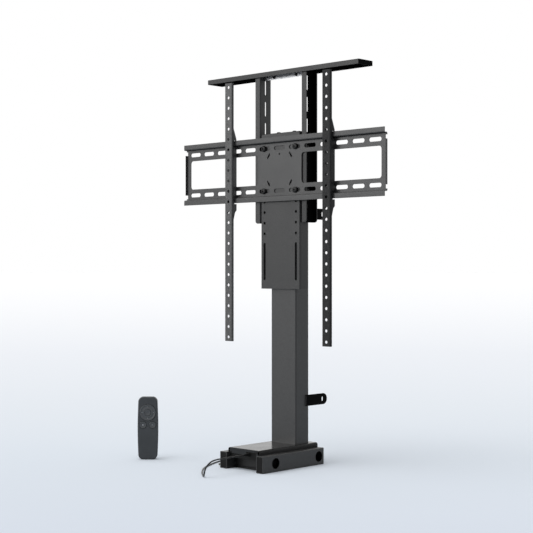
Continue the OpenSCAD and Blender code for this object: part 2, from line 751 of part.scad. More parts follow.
// Arms: a channel with a row of holes, whose sides grow into hooks over the plate's two rails.
// The side's outline is drawn in depth behind the front face and height from the plate's middle.
module arm_side_outline() {
    top = arm_len / 2 - arm_drop;
    bottom = -arm_len / 2 - arm_drop;
    rail_top = mount_h / 2;
    neck = lip_front - arm_front - 0.5;                 // in front of the plate's rails
    behind = lip_front + plate_t - arm_front + 1;       // behind the plate's rails
    inside = shelf_z - plate_t - 2;                     // between the plate's two shelves
    polygon([[0, top], [arm_side, top], [arm_side, rail_top + 29], [hook_depth - 1.5, rail_top + 7],
        [hook_depth - 0.5, rail_top + 4], [hook_depth - 0.5, shelf_z + 1.5], [behind, shelf_z + 1.5],
        [behind, rail_top + 1], [neck, rail_top + 1], [neck, inside], [hook_depth, inside],
        [hook_depth, -inside], [neck, -inside], [neck, -rail_top - 2], [hook_depth, -rail_top - 2],
        [hook_depth, -rail_top - 17], [hook_depth - 5, -rail_top - 22], [arm_side, -rail_top - 40],
        [arm_side, bottom], [0, bottom]]);
}

module arm(x) color([0.33, 0.33, 0.33])
    difference() {
        union() {
            intersection() {
                along_z(arm_z - arm_len / 2, arm_len) arm_section(x);
                along_x(x - arm_w / 2 - 1, arm_w + 2) translate([arm_front, mount_z]) arm_side_outline();
            }
            // Foot tab that carries the lock screw
            translate([x - arm_w / 2 + arm_t / 2, arm_front + arm_t / 2, lock_z])
                cube([arm_w - arm_t, hook_depth - arm_t / 2, arm_t]);
        }
        for (i = [0:arm_holes - 1])
            translate([x, arm_front - 1, arm_z + (i - (arm_holes - 1) / 2) * hole_pitch])
                rotate([-90, 0, 0]) cylinder(d = arm_hole_d, h = arm_t + 2);
        translate([x, lock_y, lock_z - 1]) cylinder(d = lock_d + bolt_fit, h = arm_t + 2);
    }

module arm_section(x) {
    depth = arm_front + hook_depth;
    x0 = x - arm_w / 2 + arm_t / 2;
    x1 = x + arm_w / 2 - arm_t / 2;
    y = arm_front + arm_t / 2;
    folded([[x0, depth], [x0, y], [x1, y], [x1, depth]], arm_t, bend_r);
}

// Lock screw: rises behind the plate's lower rail so that the arm can't lift off
lock_d = 5;
lock_y = lip_front + plate_t + 3.2;
lock_z = mount_z - mount_h / 2 - 15;
module arm_lock(x) color([0.2, 0.2, 0.2])
    translate([x, lock_y, lock_z]) bolt(9, 3, lock_d, 15 + lip_h - plate_t - 6);

module arm_left() arm(arm_left_x);
module arm_right() arm(arm_right_x);
module arm_lock_left() arm_lock(arm_left_x);
module arm_lock_right() arm_lock(arm_right_x);

// Hand control, drawn upright with its face towards -Y, then turned and put in its place

module hand_place() translate([hand_x, hand_y, 0]) rotate([0, 0, hand_turn]) children();

// Barrel outline: straight ends, sides that swell towards the middle, round corners
module hand_outline(inset) {
    r = 12 - inset;
    h = hand_h / 2 - inset;
    swell = 1.6;
    w = hand_w / 2 - swell - inset;
    corner = [for (a = [0:15:90]) [w - r + r * cos(a), h - r + r * sin(a)]];
    side = [for (z = [-0.66:0.22:0.66]) [w + swell * (1 - z * z * 1.2), z * (h - r)]];
    right = concat([for (p = reversed(corner)) [p[0], -p[1]]], side, corner);
    left = [for (p = reversed(right)) [-p[0], p[1]]];
    polygon(concat(right, left));
}

module hand_body(from, depth, inset)
    along_y(from, depth) translate([0, hand_h / 2]) hand_outline(inset);

module key_hole(x, z, r) translate([x, -hand_t, z]) rotate([-90, 0, 0]) cylinder(r = r, h = hand_t);

module hand_front_shell() color([0.27, 0.28, 0.3]) hand_place()
    difference() {
        union() {
            hand_body(-hand_t / 2 + 1.2, split - 1.2, 0);
            hand_body(-hand_t / 2, 1.2 + eps, 1.2);
        }
        hand_body(-hand_t / 2 + hand_wall + 0.6, split, hand_wall);
        key_hole(0, ring_z, ring_r + key_gap);
        for (x = [-1, 1]) key_hole(x * pair_x, pair_z, key_r + key_gap);
    }

module hand_back_shell() color([0.2, 0.2, 0.22]) hand_place()
    difference() {
        union() {
            hand_body(-hand_t / 2 + split, hand_t - split - 1.8, 0);
            hand_body(hand_t / 2 - 1.8 - eps, 1.8 + eps, 1.8);
        }
        hand_body(-hand_t / 2 + split - 1, hand_t - split - 1, hand_wall);
    }

board_front = -hand_t / 2 + split - 1.6;
module hand_board() color([0.1, 0.3, 0.15]) hand_place() hand_body(board_front, 1.6, hand_wall + gap);

key_front = -hand_t / 2 - key_out;
key_depth = board_front - gap - key_travel - key_front;

// Ring key with a dished face round the centre key
module hand_ring_key() color([0.33, 0.34, 0.36]) hand_place()
    translate([0, key_front, ring_z]) rotate([-90, 0, 0]) rotate_extrude()
        polygon([[centre_r + key_gap, 0.5], [centre_r + 3, 0.9], [ring_r - 3, 0.5], [ring_r - 1.2, 0],
            [ring_r, 0.9], [ring_r, key_depth], [centre_r + key_gap, key_depth]]);

module round_key(x, z, r) hand_place() translate([x, key_front, z]) rotate([-90, 0, 0]) rotate_extrude()
    polygon([[0, 0.7], [r * 0.5, 0.5], [r - 1, 0], [r - 0.2, 0.4], [r, 1], [r, key_depth], [0, key_depth]]);

module hand_centre_key() color([0.36, 0.37, 0.39]) round_key(0, ring_z, centre_r);
module hand_left_key() color([0.36, 0.37, 0.39]) round_key(-pair_x, pair_z, key_r);
module hand_right_key() color([0.36, 0.37, 0.39]) round_key(pair_x, pair_z, key_r);

module hand_battery() color([0.5, 0.5, 0.55]) hand_place()
    translate([0, board_front + 1.6, 30]) rotate([-90, 0, 0]) cylinder(d = 20, h = 3.2);

// Power cord: a tube swept along smooth curves through hand-placed points

function spline(p, k) = let (n = len(p) - 1)
    concat([for (i = [0:n - 1]) for (s = [0:k - 1])
        let (t = s / k, a = p[max(i - 1, 0)], b = p[i], c = p[i + 1], d = p[min(i + 2, n)])
        b + (c - a) * t / 2 + (2 * a - 5 * b + 4 * c - d) * t * t / 2
            + (3 * b - a - 3 * c + d) * t * t * t / 2], [p[n]]);

// Direction of travel at each point of a path
function heading(p) = [for (i = [0:len(p) - 1]) unit(p[min(i + 1, len(p) - 1)] - p[max(i - 1, 0)])];

// A sideways direction carried along the path without twisting
function carried(h) = [for (i = 0, s = square_to(h[0], [0.02, 0.01, 1]); i < len(h);
    i = i + 1, s = square_to(h[min(i, len(h) - 1)], s)) s];
function square_to(h, v) = unit(v - h * (v * h));

module tube(path, d, sides) {
    h = heading(path);
    s = carried(h);
    last = len(path) - 1;
    points = [for (i = [0:last]) for (j = [0:sides - 1])
        path[i] + (s[i] * cos(j * 360 / sides) + cross(h[i], s[i]) * sin(j * 360 / sides)) * d / 2];
    walls = [for (i = [0:last - 1]) for (j = [0:sides - 1])
        let (a = i * sides + j, b = i * sides + (j + 1) % sides)
            each [[a, a + sides, b], [b, a + sides, b + sides]]];
    caps = [[for (j = [0:sides - 1]) j], [for (j = [sides - 1:-1:0]) last * sides + j]];
    polyhedron(points, concat(walls, caps));
}

module power_cord() color([0.05, 0.05, 0.05])
    tube(spline(concat([[cord_exit[0], gland_front, cord_exit[2]]], route), 2), cord_d, 8);

// Coil: spirals in over the lower layer, climbs in half a turn and spirals out over it
steps = 24;
coil_low = cord_d / 2 + 0.1;
coil_layer = cord_d + 0.9;
turn_sum = coil_turns * 2 + 0.5;
function coil_radius(t) = coil_r - coil_pitch * (t <= coil_turns ? t
    : t < coil_turns + 0.5 ? coil_turns : turn_sum - t);
function coil_height(t) = coil_low + coil_layer * min(max((t - coil_turns) * 2, 0), 1);
coil_path = [for (i = [0:turn_sum * steps]) let (t = i / steps, a = 180 - t * 360)
    [coil_centre[0] + coil_radius(t) * cos(a), coil_centre[1] + coil_radius(t) * sin(a), coil_height(t)]];

module cord_coil() color([0.05, 0.05, 0.05])
    tube(concat([coil_path[0] - [0, cord_d, 0]], coil_path, [coil_path[len(coil_path) - 1] - [0, cord_d, 0]]),
        cord_d, 6);

// Least gap of the coil to itself, from points at least half a turn apart
coil_gap = min([for (i = [0:2:len(coil_path) - 1]) for (j = [i + steps / 2:len(coil_path) - 1])
    norm(coil_path[i] - coil_path[j])]) - cord_d;
echo(str("least gap of the coil to itself, mm: ", coil_gap));

tail_start = coil_path[len(coil_path) - 1] - [0, cord_d, 0];
module cord_tail() color([0.05, 0.05, 0.05])
    tube(spline([for (p = tail_route) tail_start + p], 1), cord_d, 8);

// Barrel connector on the cord's end, lying on the floor: strain relief, grip, metal barrel
tail_end = tail_start + tail_route[len(tail_route) - 1];
module cord_connector() color([0.08, 0.08, 0.08])
    translate(tail_end) rotate([90, 0, 0]) rotate_extrude()
        polygon([[0, 0], [cord_d / 2, 0], [2.6, 9], [2.6, 12], [4.6, 12.6], [4.8, 14], [4.8, 31], [4.2, 32.4],
            [2.75, 32.4], [2.75, 42], [0, 42]]);

base_rail_left();
base_rail_right();
base_floor_plate();
front_crossbar();
rear_crossbar();
rail_end_plugs();
base_cover();
control_box();
control_board();
cord_gland();
column_outer();
upper_glide_pads();
motor();
gearbox();
screw_bearing();
lift_screw();
wall_tab_low_right();
wall_tab_high_right();
wall_tab_low_left();
wall_tab_high_left();
column_inner();
lower_glide_pads();
drive_nut();
column_head();
carriage_plate();
head_screws();
lid_bracket();
press_nuts();
mounting_plate();
plate_bolts();
channel_bolts();
channel_nuts();
upright_left();
upright_right();
tie_bar();
lid_plate();
lid_screws();
lid_nuts();
arm_left();
arm_right();
arm_lock_left();
arm_lock_right();
hand_front_shell();
hand_back_shell();
hand_board();
hand_ring_key();
hand_centre_key();
hand_left_key();
hand_right_key();
hand_battery();
power_cord();
cord_coil();
cord_tail();
cord_connector();
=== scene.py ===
# Television lift stand: its finishes, cord and hand control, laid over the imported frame.
# Metres. +X is the viewer's right, +Y the rear, +Z up, and the origin is under the middle of the base.
import json
import math

import bmesh
import bpy
import numpy as np
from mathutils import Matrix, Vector


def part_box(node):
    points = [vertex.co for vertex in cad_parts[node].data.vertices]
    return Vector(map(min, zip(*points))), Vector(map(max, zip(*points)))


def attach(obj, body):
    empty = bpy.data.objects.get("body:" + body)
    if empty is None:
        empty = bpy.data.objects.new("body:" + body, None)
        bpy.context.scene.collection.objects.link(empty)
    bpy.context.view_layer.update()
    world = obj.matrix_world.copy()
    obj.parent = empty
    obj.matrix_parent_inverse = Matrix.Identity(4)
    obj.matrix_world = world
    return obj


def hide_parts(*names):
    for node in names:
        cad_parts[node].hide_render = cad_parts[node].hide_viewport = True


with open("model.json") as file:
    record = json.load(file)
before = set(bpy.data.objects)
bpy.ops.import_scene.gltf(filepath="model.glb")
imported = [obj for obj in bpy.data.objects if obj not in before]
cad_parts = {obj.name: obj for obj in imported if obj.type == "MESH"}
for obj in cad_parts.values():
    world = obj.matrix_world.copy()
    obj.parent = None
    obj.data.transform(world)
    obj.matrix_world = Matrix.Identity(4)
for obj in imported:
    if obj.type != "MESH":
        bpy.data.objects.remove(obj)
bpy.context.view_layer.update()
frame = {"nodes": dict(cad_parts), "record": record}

mm = 0.001
nodes = frame["nodes"]
bodyOf = {node: body for body, names in frame["record"]["behaviour"]["bodies"].items() for node in names}
slotOf = {part["node"]: part["material_slot"] for part in frame["record"]["subparts"]}
scene = bpy.context.scene


# Camera, at the photograph's place: level, 43.6 degrees round to the right, 0.46 m above the floor

cameraSet = {
    "place": (2.0207, -2.1434, 0.4602),
    "turnDeg": 43.58,
    "lensMm": 85.77,
    "shiftUp": 0.0017,        # the photograph's horizon is one pixel below its middle
}


def makeCamera():
    data = bpy.data.cameras.new("studioCamera")
    data.lens = cameraSet["lensMm"]
    data.sensor_width = 36
    data.shift_y = cameraSet["shiftUp"]
    data.clip_end = 200
    camera = bpy.data.objects.new("studioCamera", data)
    camera.location = cameraSet["place"]
    camera.rotation_euler = (math.radians(90), 0, math.radians(cameraSet["turnDeg"]))
    scene.collection.objects.link(camera)
    scene.camera = camera


makeCamera()
print("camera set")


# Small tools for nodes, colours and meshes

def toLinear(hexColour):        # sRGB hex to linear
    parts = [int(hexColour[i:i + 2], 16) / 255 for i in (1, 3, 5)]
    return [c / 12.92 if c <= 0.04045 else ((c + 0.055) / 1.055) ** 2.4 for c in parts] + [1.0]


def addNode(tree, kind, settings=(), links=()):        # a node, its settings and what feeds it
    node = tree.nodes.new(kind)
    for name, value in dict(settings).items():
        if isinstance(name, int) or name in node.inputs:
            node.inputs[name].default_value = value
        else:
            setattr(node, name, value)
    for name, source in dict(links).items():
        tree.links.new(source, node.inputs[name])
    return node


def startMaterial(name):
    material = bpy.data.materials.new(name)
    material.use_nodes = True
    tree = material.node_tree
    shader = tree.nodes["Principled BSDF"]
    place = addNode(tree, "ShaderNodeTexCoord").outputs["Object"]
    return material, tree, shader, place


def grainNoise(tree, place, sizeMm, detail=2.0):        # noise whose lumps are about sizeMm across
    return addNode(tree, "ShaderNodeTexNoise", {"Scale": 1 / (sizeMm * mm), "Detail": detail},
                   {"Vector": place})


def spread(tree, source, low, high):        # a 0 to 1 value taken to low to high
    limits = {"From Min": 0.3, "From Max": 0.7, "To Min": low, "To Max": high}
    return addNode(tree, "ShaderNodeMapRange", limits, {"Value": source}).outputs[0]


def twoTone(tree, source, first, second):
    mix = addNode(tree, "ShaderNodeMix", {"data_type": "RGBA"})
    mix.inputs[6].default_value = toLinear(first)
    mix.inputs[7].default_value = toLinear(second)
    tree.links.new(source, mix.inputs[0])
    return mix.outputs[2]


def addBump(tree, shader, source, heightMm):
    bump = addNode(tree, "ShaderNodeBump", {"Strength": 1.0, "Distance": heightMm * mm}, {"Height": source})
    tree.links.new(bump.outputs["Normal"], shader.inputs["Normal"])


# Materials, each named for the real one

def setSurface(tree, shader, look, toneFrom, roughFrom, grain, roughBy=0.03):
    # toneFrom mixes the two colours, roughFrom moves the roughness by roughBy, and grain lifts the skin
    tone = twoTone(tree, spread(tree, toneFrom.outputs[0], 0, 1), look["dark"], look["pale"])
    tree.links.new(tone, shader.inputs["Base Color"])
    tree.links.new(spread(tree, roughFrom.outputs[0], look["rough"] - roughBy, look["rough"] + roughBy),
                   shader.inputs["Roughness"])
    addBump(tree, shader, grain.outputs[0], look["bumpMm"])
    shader.inputs["Specular IOR Level"].default_value = look.get("sheen", 0.5)


def powderCoat(name, look):
    # Fine-texture polyester powder baked on steel: the eye gets a black skin from the low base colour, a soft
    # broken sheen from the roughness and the lumpy bump, and paler specks where the lumps catch the light.
    # The real grain is about 0.4 mm, too fine for the picture, so it is drawn at grainMm.
    look = {"rough": 0.36, "grainMm": 1.5, "cloudMm": 40} | look
    material, tree, shader, place = startMaterial(name)
    grain = grainNoise(tree, place, look["grainMm"], 3.0)
    cloud = grainNoise(tree, place, look["cloudMm"])
    setSurface(tree, shader, look, grain, cloud, grain)
    shader.inputs["IOR"].default_value = 1.5
    return material


def platedSteel(name, look):
    # Zinc or nickel plate, or black oxide, on steel: fine grain, stretched by grainRatio, breaks up what it
    # mirrors, and a cloud varies its colour. The plates are metal to the eye; the oxide is a dull skin.
    material, tree, shader, place = startMaterial(name)
    stretched = addNode(tree, "ShaderNodeMapping", {"Scale": look["grainRatio"]}, {"Vector": place})
    grain = grainNoise(tree, stretched.outputs[0], look["grainMm"], 4.0)
    cloud = grainNoise(tree, place, 9)
    setSurface(tree, shader, look, cloud, grain, grain, roughBy=0.08)
    shader.inputs["Metallic"].default_value = look["metal"]
    return material


def mouldedPlastic(name, look):
    # Spark-eroded mould texture on ABS or nylon: the bump's even grain softens the sheen, and a wide cloud
    # varies the tone a little, as the resin does
    material, tree, shader, place = startMaterial(name)
    grain = grainNoise(tree, place, look["grainMm"], 1.0)
    cloud = grainNoise(tree, place, 25)
    setSurface(tree, shader, look, cloud, grain, grain)
    shader.inputs["IOR"].default_value = 1.5
    return material


def circuitBoard(name):
    # Green solder mask over copper: fine square tracks show as a slightly paler net
    material, tree, shader, place = startMaterial(name)
    tracks = addNode(tree, "ShaderNodeTexBrick", {"Scale": 1.0, "Brick Width": 7 * mm, "Row Height": 2.5 * mm,
                                                  "Mortar Size": 0.3 * mm}, {"Vector": place})
    tracks.inputs["Color1"].default_value = toLinear("#0f4a26")
    tracks.inputs["Color2"].default_value = toLinear("#124f2a")
    tracks.inputs["Mortar"].default_value = toLinear("#2f7a48")
    tree.links.new(tracks.outputs["Color"], shader.inputs["Base Color"])
    shader.inputs["Roughness"].default_value = 0.3
    return material


def wovenStrap(name):
    # Hook-and-loop tape: crossed waves of fibre loops under a matt black
    material, tree, shader, place = startMaterial(name)
    warp = addNode(tree, "ShaderNodeTexWave", {"Scale": 1 / (8 * mm), "Distortion": 2.0}, {"Vector": place})
    fuzz = grainNoise(tree, place, 0.7, 4.0)
    height = addNode(tree, "ShaderNodeMath", {"operation": "ADD"},
                     {0: warp.outputs["Fac"], 1: fuzz.outputs[0]})
    tree.links.new(twoTone(tree, fuzz.outputs[0], "#0c0c0c", "#242424"), shader.inputs["Base Color"])
    addBump(tree, shader, height.outputs[0], 0.2)
    shader.inputs["Roughness"].default_value = 0.85
    shader.inputs["Sheen Weight"].default_value = 0.3
    return material


# One black powder coat in copies whose tone and sheen are set piece by piece to each piece's brightness under
# the light: the darker and paler copies are painted shade and painted light, and the arms' coarser grain is
# their own
coatedSteel = powderCoat("powderCoatBlack", {
    "dark": "#1a1a1a", "pale": "#303030", "bumpMm": 0.07, "sheen": 0.43})
frameSteel = powderCoat("powderCoatFrame", {
    "dark": "#151515", "pale": "#282828", "bumpMm": 0.09, "sheen": 0.36})
# Also used on the right upright: a darker copy than the left upright's, as painted shade
lidSteel = powderCoat("powderCoatLid", {
    "dark": "#131313", "pale": "#232323", "bumpMm": 0.09, "sheen": 0.29})
baseSteel = powderCoat("powderCoatDeepBlack", {
    "dark": "#0d0d0d", "pale": "#1b1b1b", "rough": 0.42, "bumpMm": 0.08, "sheen": 0.25})
coverSteel = powderCoat("powderCoatSatin", {
    "dark": "#080808", "pale": "#0e0e0e", "rough": 0.2, "bumpMm": 0.02, "sheen": 0.37})
# Near-black, nearly unreflecting copy of the coat for the wall tabs: painted shade
tabShadeSteel = powderCoat("powderCoatTabShade", {
    "dark": "#030303", "pale": "#080808", "rough": 0.35, "bumpMm": 0.03, "sheen": 0.02})
# Near-black, nearly unreflecting coat laid on faces that lie in shade: painted shade
paintedShadeSteel = powderCoat("powderCoatPaintedShade", {
    "dark": "#020202", "pale": "#060606", "rough": 0.6, "bumpMm": 0.05, "sheen": 0.02})
# The left arm's coat: the speckle is its own, and the paler tone and higher sheen are painted light
paintedLightSpeckledSteel = powderCoat("powderCoatSpeckled", {
    "dark": "#0d0d0d", "pale": "#464646", "rough": 0.4, "grainMm": 2.2, "bumpMm": 0.14, "sheen": 0.48})
# The right arm's coat, also on the base cover's side rolls: the speckle is its own, and the darker tone and
# low sheen are painted shade
shadedSteel = powderCoat("powderCoatSpeckledPaintedShade", {
    "dark": "#060606", "pale": "#2a2a2a", "rough": 0.5, "grainMm": 2.2, "bumpMm": 0.14, "sheen": 0.14})
zincSteel = platedSteel("zincPlatedSteel", {
    "dark": "#9fa0a2", "pale": "#b9babc", "rough": 0.38, "grainMm": 0.8, "grainRatio": (1, 1, 0.1),
    "bumpMm": 0.01, "metal": 1.0})
blackScrew = platedSteel("blackOxideSteel", {
    "dark": "#080808", "pale": "#101010", "rough": 0.34, "grainMm": 0.5, "grainRatio": (1, 1, 1),
    "bumpMm": 0.01, "metal": 0.0, "sheen": 0.2})
cellSteel = platedSteel("nickelPlatedCell", {
    "dark": "#b5b4ae", "pale": "#c4c3bd", "rough": 0.25, "grainMm": 0.5, "grainRatio": (1, 1, 1),
    "bumpMm": 0.005, "metal": 1.0})
blackPlastic = mouldedPlastic("mouldedNylonBlack", {
    "dark": "#080808", "pale": "#0e0e0e", "rough": 0.5, "grainMm": 0.6, "bumpMm": 0.03, "sheen": 0.12})
palePlastic = mouldedPlastic("acetalNatural", {
    "dark": "#dedbd0", "pale": "#e6e3d9", "rough": 0.4, "grainMm": 0.8, "bumpMm": 0.01})
cordJacket = mouldedPlastic("pvcJacketBlack", {
    "dark": "#0c0c0c", "pale": "#131313", "rough": 0.36, "grainMm": 1.2, "bumpMm": 0.01, "sheen": 0.3})
handPlastic = mouldedPlastic("absSlate", {
    "dark": "#2d3033", "pale": "#333639", "rough": 0.45, "grainMm": 0.5, "bumpMm": 0.02, "sheen": 0.4})
keyPlastic = mouldedPlastic("absSlateSatin", {
    "dark": "#303336", "pale": "#36393c", "rough": 0.3, "grainMm": 0.5, "bumpMm": 0.01, "sheen": 0.6})
markInk = mouldedPlastic("padPrintGrey", {
    "dark": "#9a9da0", "pale": "#a4a7aa", "rough": 0.5, "grainMm": 0.5, "bumpMm": 0.005, "sheen": 0.3})
tieFabric = wovenStrap("hookLoopStrap")
boardGreen = circuitBoard("solderMaskGreen")
finishOf = {"coated_steel": coatedSteel, "dark_steel": baseSteel, "zinc_steel": zincSteel,
            "black_screw": blackScrew, "black_plastic": blackPlastic, "pale_plastic": palePlastic,
            "board": boardGreen, "cord": cordJacket, "hand_plastic": handPlastic, "key_plastic": keyPlastic,
            "battery": cellSteel}


def paint(piece, material):
    piece.data.materials.clear()
    piece.data.materials.append(material)


for nodeName, node in nodes.items():
    paint(node, finishOf[slotOf[nodeName]])
print("materials on", len(nodes), "nodes")


def finishPiece(piece, body, material, replaced=()):
    paint(piece, material)
    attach(piece, body)
    if replaced:
        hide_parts(*replaced)
    return piece


# Shapes made on grids: a shell is a stack of closed rings, an array of rings x points x 3 in millimetres

def ringPiece(pieceName, shells, joined=False, sharpDeg=32):        # joined closes the stack on itself
    spots, faces, start = [], [], 0
    for rings in shells:
        count, points = rings.shape[:2]
        i, j = np.meshgrid(np.arange(count if joined else count - 1), np.arange(points), indexing="ij")
        above, beside = (i + 1) % count, (j + 1) % points
        corners = [i * points + j, i * points + beside, above * points + beside, above * points + j]
        faces.append(start + np.stack(corners, -1).reshape(-1, 4))
        spots.append(rings.reshape(-1, 3) * mm)
        start += count * points
    mesh = bpy.data.meshes.new(pieceName)
    mesh.from_pydata(np.vstack(spots).tolist(), [], np.vstack(faces).tolist())
    closeSkin(mesh, sharpDeg)
    piece = bpy.data.objects.new(pieceName, mesh)
    scene.collection.objects.link(piece)
    return piece


def closeSkin(mesh, sharpDeg):        # merges poles, fills open ends, faces outward, marks sharp edges
    shape = bmesh.new()
    shape.from_mesh(mesh)
    bmesh.ops.remove_doubles(shape, verts=shape.verts, dist=0.001 * mm)
    bmesh.ops.holes_fill(shape, edges=shape.edges)
    bmesh.ops.recalc_face_normals(shape, faces=shape.faces)
    shape.to_mesh(mesh)
    shape.free()
    mesh.shade_smooth()
    mesh.set_sharp_from_angle(angle=math.radians(sharpDeg))


def evenFaces(piece, keepSharp=True):        # large flat faces rule the shading beside round edges
    even = piece.modifiers.new("evenFaces", "WEIGHTED_NORMAL")
    even.mode = "FACE_AREA"
    even.weight = 100
    even.keep_sharp = keepSharp


def aroundAxis(place, axis, height, reach, angle):        # rings x points, reach off the axis at each height
    up = np.asarray(axis, float)
    side = np.roll(up, 1)
    return (np.asarray(place, float) + height[:, None, None] * up
            + reach[..., None] * (np.cos(angle)[:, None] * side
                                  + np.sin(angle)[:, None] * np.cross(up, side)))


def turned(profile, place, axis, points=48, sides=(), cross=(), ribs=()):
    # A turned form: profile lists (radius, height) along axis from place. Rings named in sides are hexagons
    # whose radius is half the width over flats, r / cos((a mod 60) - 30); those in cross are four-lobed
    # recesses, r (0.34 + 0.66 |cos 2a|^5); those in ribs are knurled, r (1 - 0.04 |sin 12a|).
    radius, height = np.asarray(profile, float).T
    angle = np.arange(points) * 2 * np.pi / points
    reach = np.repeat(radius[:, None], points, 1)
    reach[list(sides)] /= np.cos(angle % (np.pi / 3) - np.pi / 6)
    reach[list(cross)] *= 0.34 + 0.66 * np.abs(np.cos(2 * angle)) ** 5
    reach[list(ribs)] *= 1 - 0.04 * np.abs(np.sin(12 * angle))
    return aroundAxis(place, axis, height, reach, angle)


def threaded(place, axis, radius, pitch, low, high, points=48, starts=1, steps=8):
    # A thread: r = radius - depth |2 frac(starts h / lead - starts a / 2 pi) - 1|, cut flat at crest and
    # root, with lead = starts x pitch and depth = 0.6 pitch
    height = np.linspace(low, high, max(int((high - low) / pitch * steps), 2))
    angle = np.arange(points) * 2 * np.pi / points
    phase = height[:, None] / pitch - starts * angle / (2 * np.pi)
    wave = np.clip(np.abs(2 * (phase - np.floor(phase)) - 1) * 1.6 - 0.3, 0, 1)
    reach = radius - 0.6 * pitch * wave
    return aroundAxis(place, axis, height, reach, angle)


def roundedOutline(width, height, radius, steps=6):        # points round a rectangle with round corners
    quarter = np.radians(np.linspace(0, 90, steps + 1)[None, :] + 90 * np.arange(4)[:, None])
    across = np.array([1, -1, -1, 1])[:, None] * (width / 2 - radius)
    up = np.array([1, 1, -1, -1])[:, None] * (height / 2 - radius)
    return np.stack([(across + radius * np.cos(quarter)).ravel(), (up + radius * np.sin(quarter)).ravel()], 1)


def roundOver(radius, steps=6):        # (inset, depth) pairs of a quarter round, from the face to the side
    t = np.radians(np.linspace(0, 90, steps + 1))
    return [(radius * (1 - np.sin(a)), radius * (1 - np.cos(a))) for a in t]


def standFor(piece, nodeName, material=None):        # finishes a piece in the place of its CAD node
    return finishPiece(piece, bodyOf[nodeName], material or finishOf[slotOf[nodeName]],
                       [nodeName])


# Cord: one thin jacketed lead from the base's socket, over the floor and round to a coil behind the left rail

cordSet = {
    "diameter": 3.4 * mm,
    "exit": (14, -107, 37.5),        # the gland's end; the points below are the route, in millimetres
    "route": [(14, -122, 37.5), (14, -140, 37.5), (14, -158, 37.5), (14, -176, 37.3), (14, -192, 36.9),
              (14, -206, 35.2), (13.5, -217, 30.5), (12.5, -224, 23.5), (11, -227, 15.5), (8, -226, 8.2),
              (2, -221.5, 3.4), (-7, -214.5, 1.8), (-19, -205, 1.8), (-34, -192, 1.8), (-51, -176, 1.8),
              (-68, -158, 1.8), (-84, -138, 1.8), (-98, -116, 1.8), (-111, -92, 1.8), (-123, -66, 1.8),
              (-132, -42, 1.8), (-137.5, -22, 1.8)],
    "coilCentre": (-112, -4), "coilRadius": 27, "coilPitch": 4.4, "coilTurns": 3,
    "coilLow": 1.8, "coilLayer": 4.3,
    "tail": [(0, -6, 0), (0.5, -13, -0.2), (1.5, -21, -0.6), (2, -29, -1), (2, -37, -1.2), (2, -42, -1.2)],
}


def smoothLine(points, steps):        # Catmull-Rom curve through the points, steps to each span
    p = np.asarray(points, float)
    ends = np.vstack([p[:1], p, p[-1:]])
    t = np.linspace(0, 1, steps, endpoint=False)[:, None, None]
    a, b, c, d = ends[:-3], ends[1:-2], ends[2:-1], ends[3:]
    curve = (b + (c - a) * t / 2 + (2 * a - 5 * b + 4 * c - d) * t ** 2 / 2
             + (3 * b - a - 3 * c + d) * t ** 3 / 2)
    return np.vstack([curve.transpose(1, 0, 2).reshape(-1, 3), p[-1:]])


def coilLine(perTurn=24):        # a flat spiral in, a half turn up, and the same spiral out again
    turns, total = cordSet["coilTurns"], 2 * cordSet["coilTurns"] + 0.5
    t = np.arange(int(total * perTurn) + 1) / perTurn
    inward = np.where(t <= turns, t, np.where(t < turns + 0.5, turns, total - t))
    radius = cordSet["coilRadius"] - cordSet["coilPitch"] * inward
    angle = np.radians(180 - 360 * t)
    climb = np.clip((t - turns) * 2, 0, 1)
    x0, y0 = cordSet["coilCentre"]
    return np.stack([x0 + radius * np.cos(angle), y0 + radius * np.sin(angle),
                     cordSet["coilLow"] + cordSet["coilLayer"] * climb], 1)


def makeCord():
    coil = coilLine()
    aside = np.array([0, cordSet["diameter"] / mm, 0])        # the route stops this short of the coil
    tail = coil[-1] - aside + np.array([(0, 0, 0)] + cordSet["tail"])
    before = smoothLine([cordSet["exit"]] + cordSet["route"] + [coil[0] - aside], 4)
    line = np.vstack([before, coil, smoothLine(tail, 4)]) * mm
    data = bpy.data.curves.new("powerLead", "CURVE")
    data.dimensions = "3D"
    data.bevel_depth = cordSet["diameter"] / 2
    data.bevel_resolution = 4
    data.use_fill_caps = True
    spline = data.splines.new("POLY")
    spline.points.add(len(line) - 1)
    spline.points.foreach_set("co", np.hstack([line, np.ones((len(line), 1))]).ravel())
    spline.use_smooth = True
    lead = bpy.data.objects.new("powerLead", data)
    scene.collection.objects.link(lead)
    return lead, line


# Strain relief at the socket: a collar, then a taper cut by grooves that let it bend

reliefSet = {"collarR": 4.6, "collarLong": 5.1, "neckR": 3.9, "endR": 2.3, "grooves": 5, "grooveDeep": 0.5}


def makeRelief():        # r = neck to end along the taper, less grooveDeep where frac(grooves t) < 0.4
    low, high = np.array(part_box("cord_gland")) / mm
    long = high[1] - low[1]
    t = np.linspace(0, 1, 81)
    taper = reliefSet["neckR"] + (reliefSet["endR"] - reliefSet["neckR"]) * t
    groove = np.clip(1.5 - np.abs((reliefSet["grooves"] * t) % 1 - 0.25) * 10, 0, 1) * (t < 0.96)
    collarR, collarLong = reliefSet["collarR"], reliefSet["collarLong"]
    start = collarLong + 0.5
    profile = [(0, 0), (3.2, 0), (3.2, 2.5), (4.2, 2.5), (collarR, 2.9), (collarR, collarLong - 0.4),
               (collarR - 0.3, collarLong)]
    profile += list(zip(taper - reliefSet["grooveDeep"] * groove, start + (long - start) * t))
    profile += [(cordSet["diameter"] / mm / 2 + 0.05, long)]
    place = ((low[0] + high[0]) / 2, high[1], (low[2] + high[2]) / 2)
    return ringPiece("socketStrainRelief", [turned(profile, place, (0, -1, 0))])


# Connector on the cord's far end: its own tapered relief, a knurled grip and a bright barrel

connectorSet = {"reliefLong": 11, "gripR": 4.8, "gripLong": 32.4, "barrelR": 2.75, "long": 42}


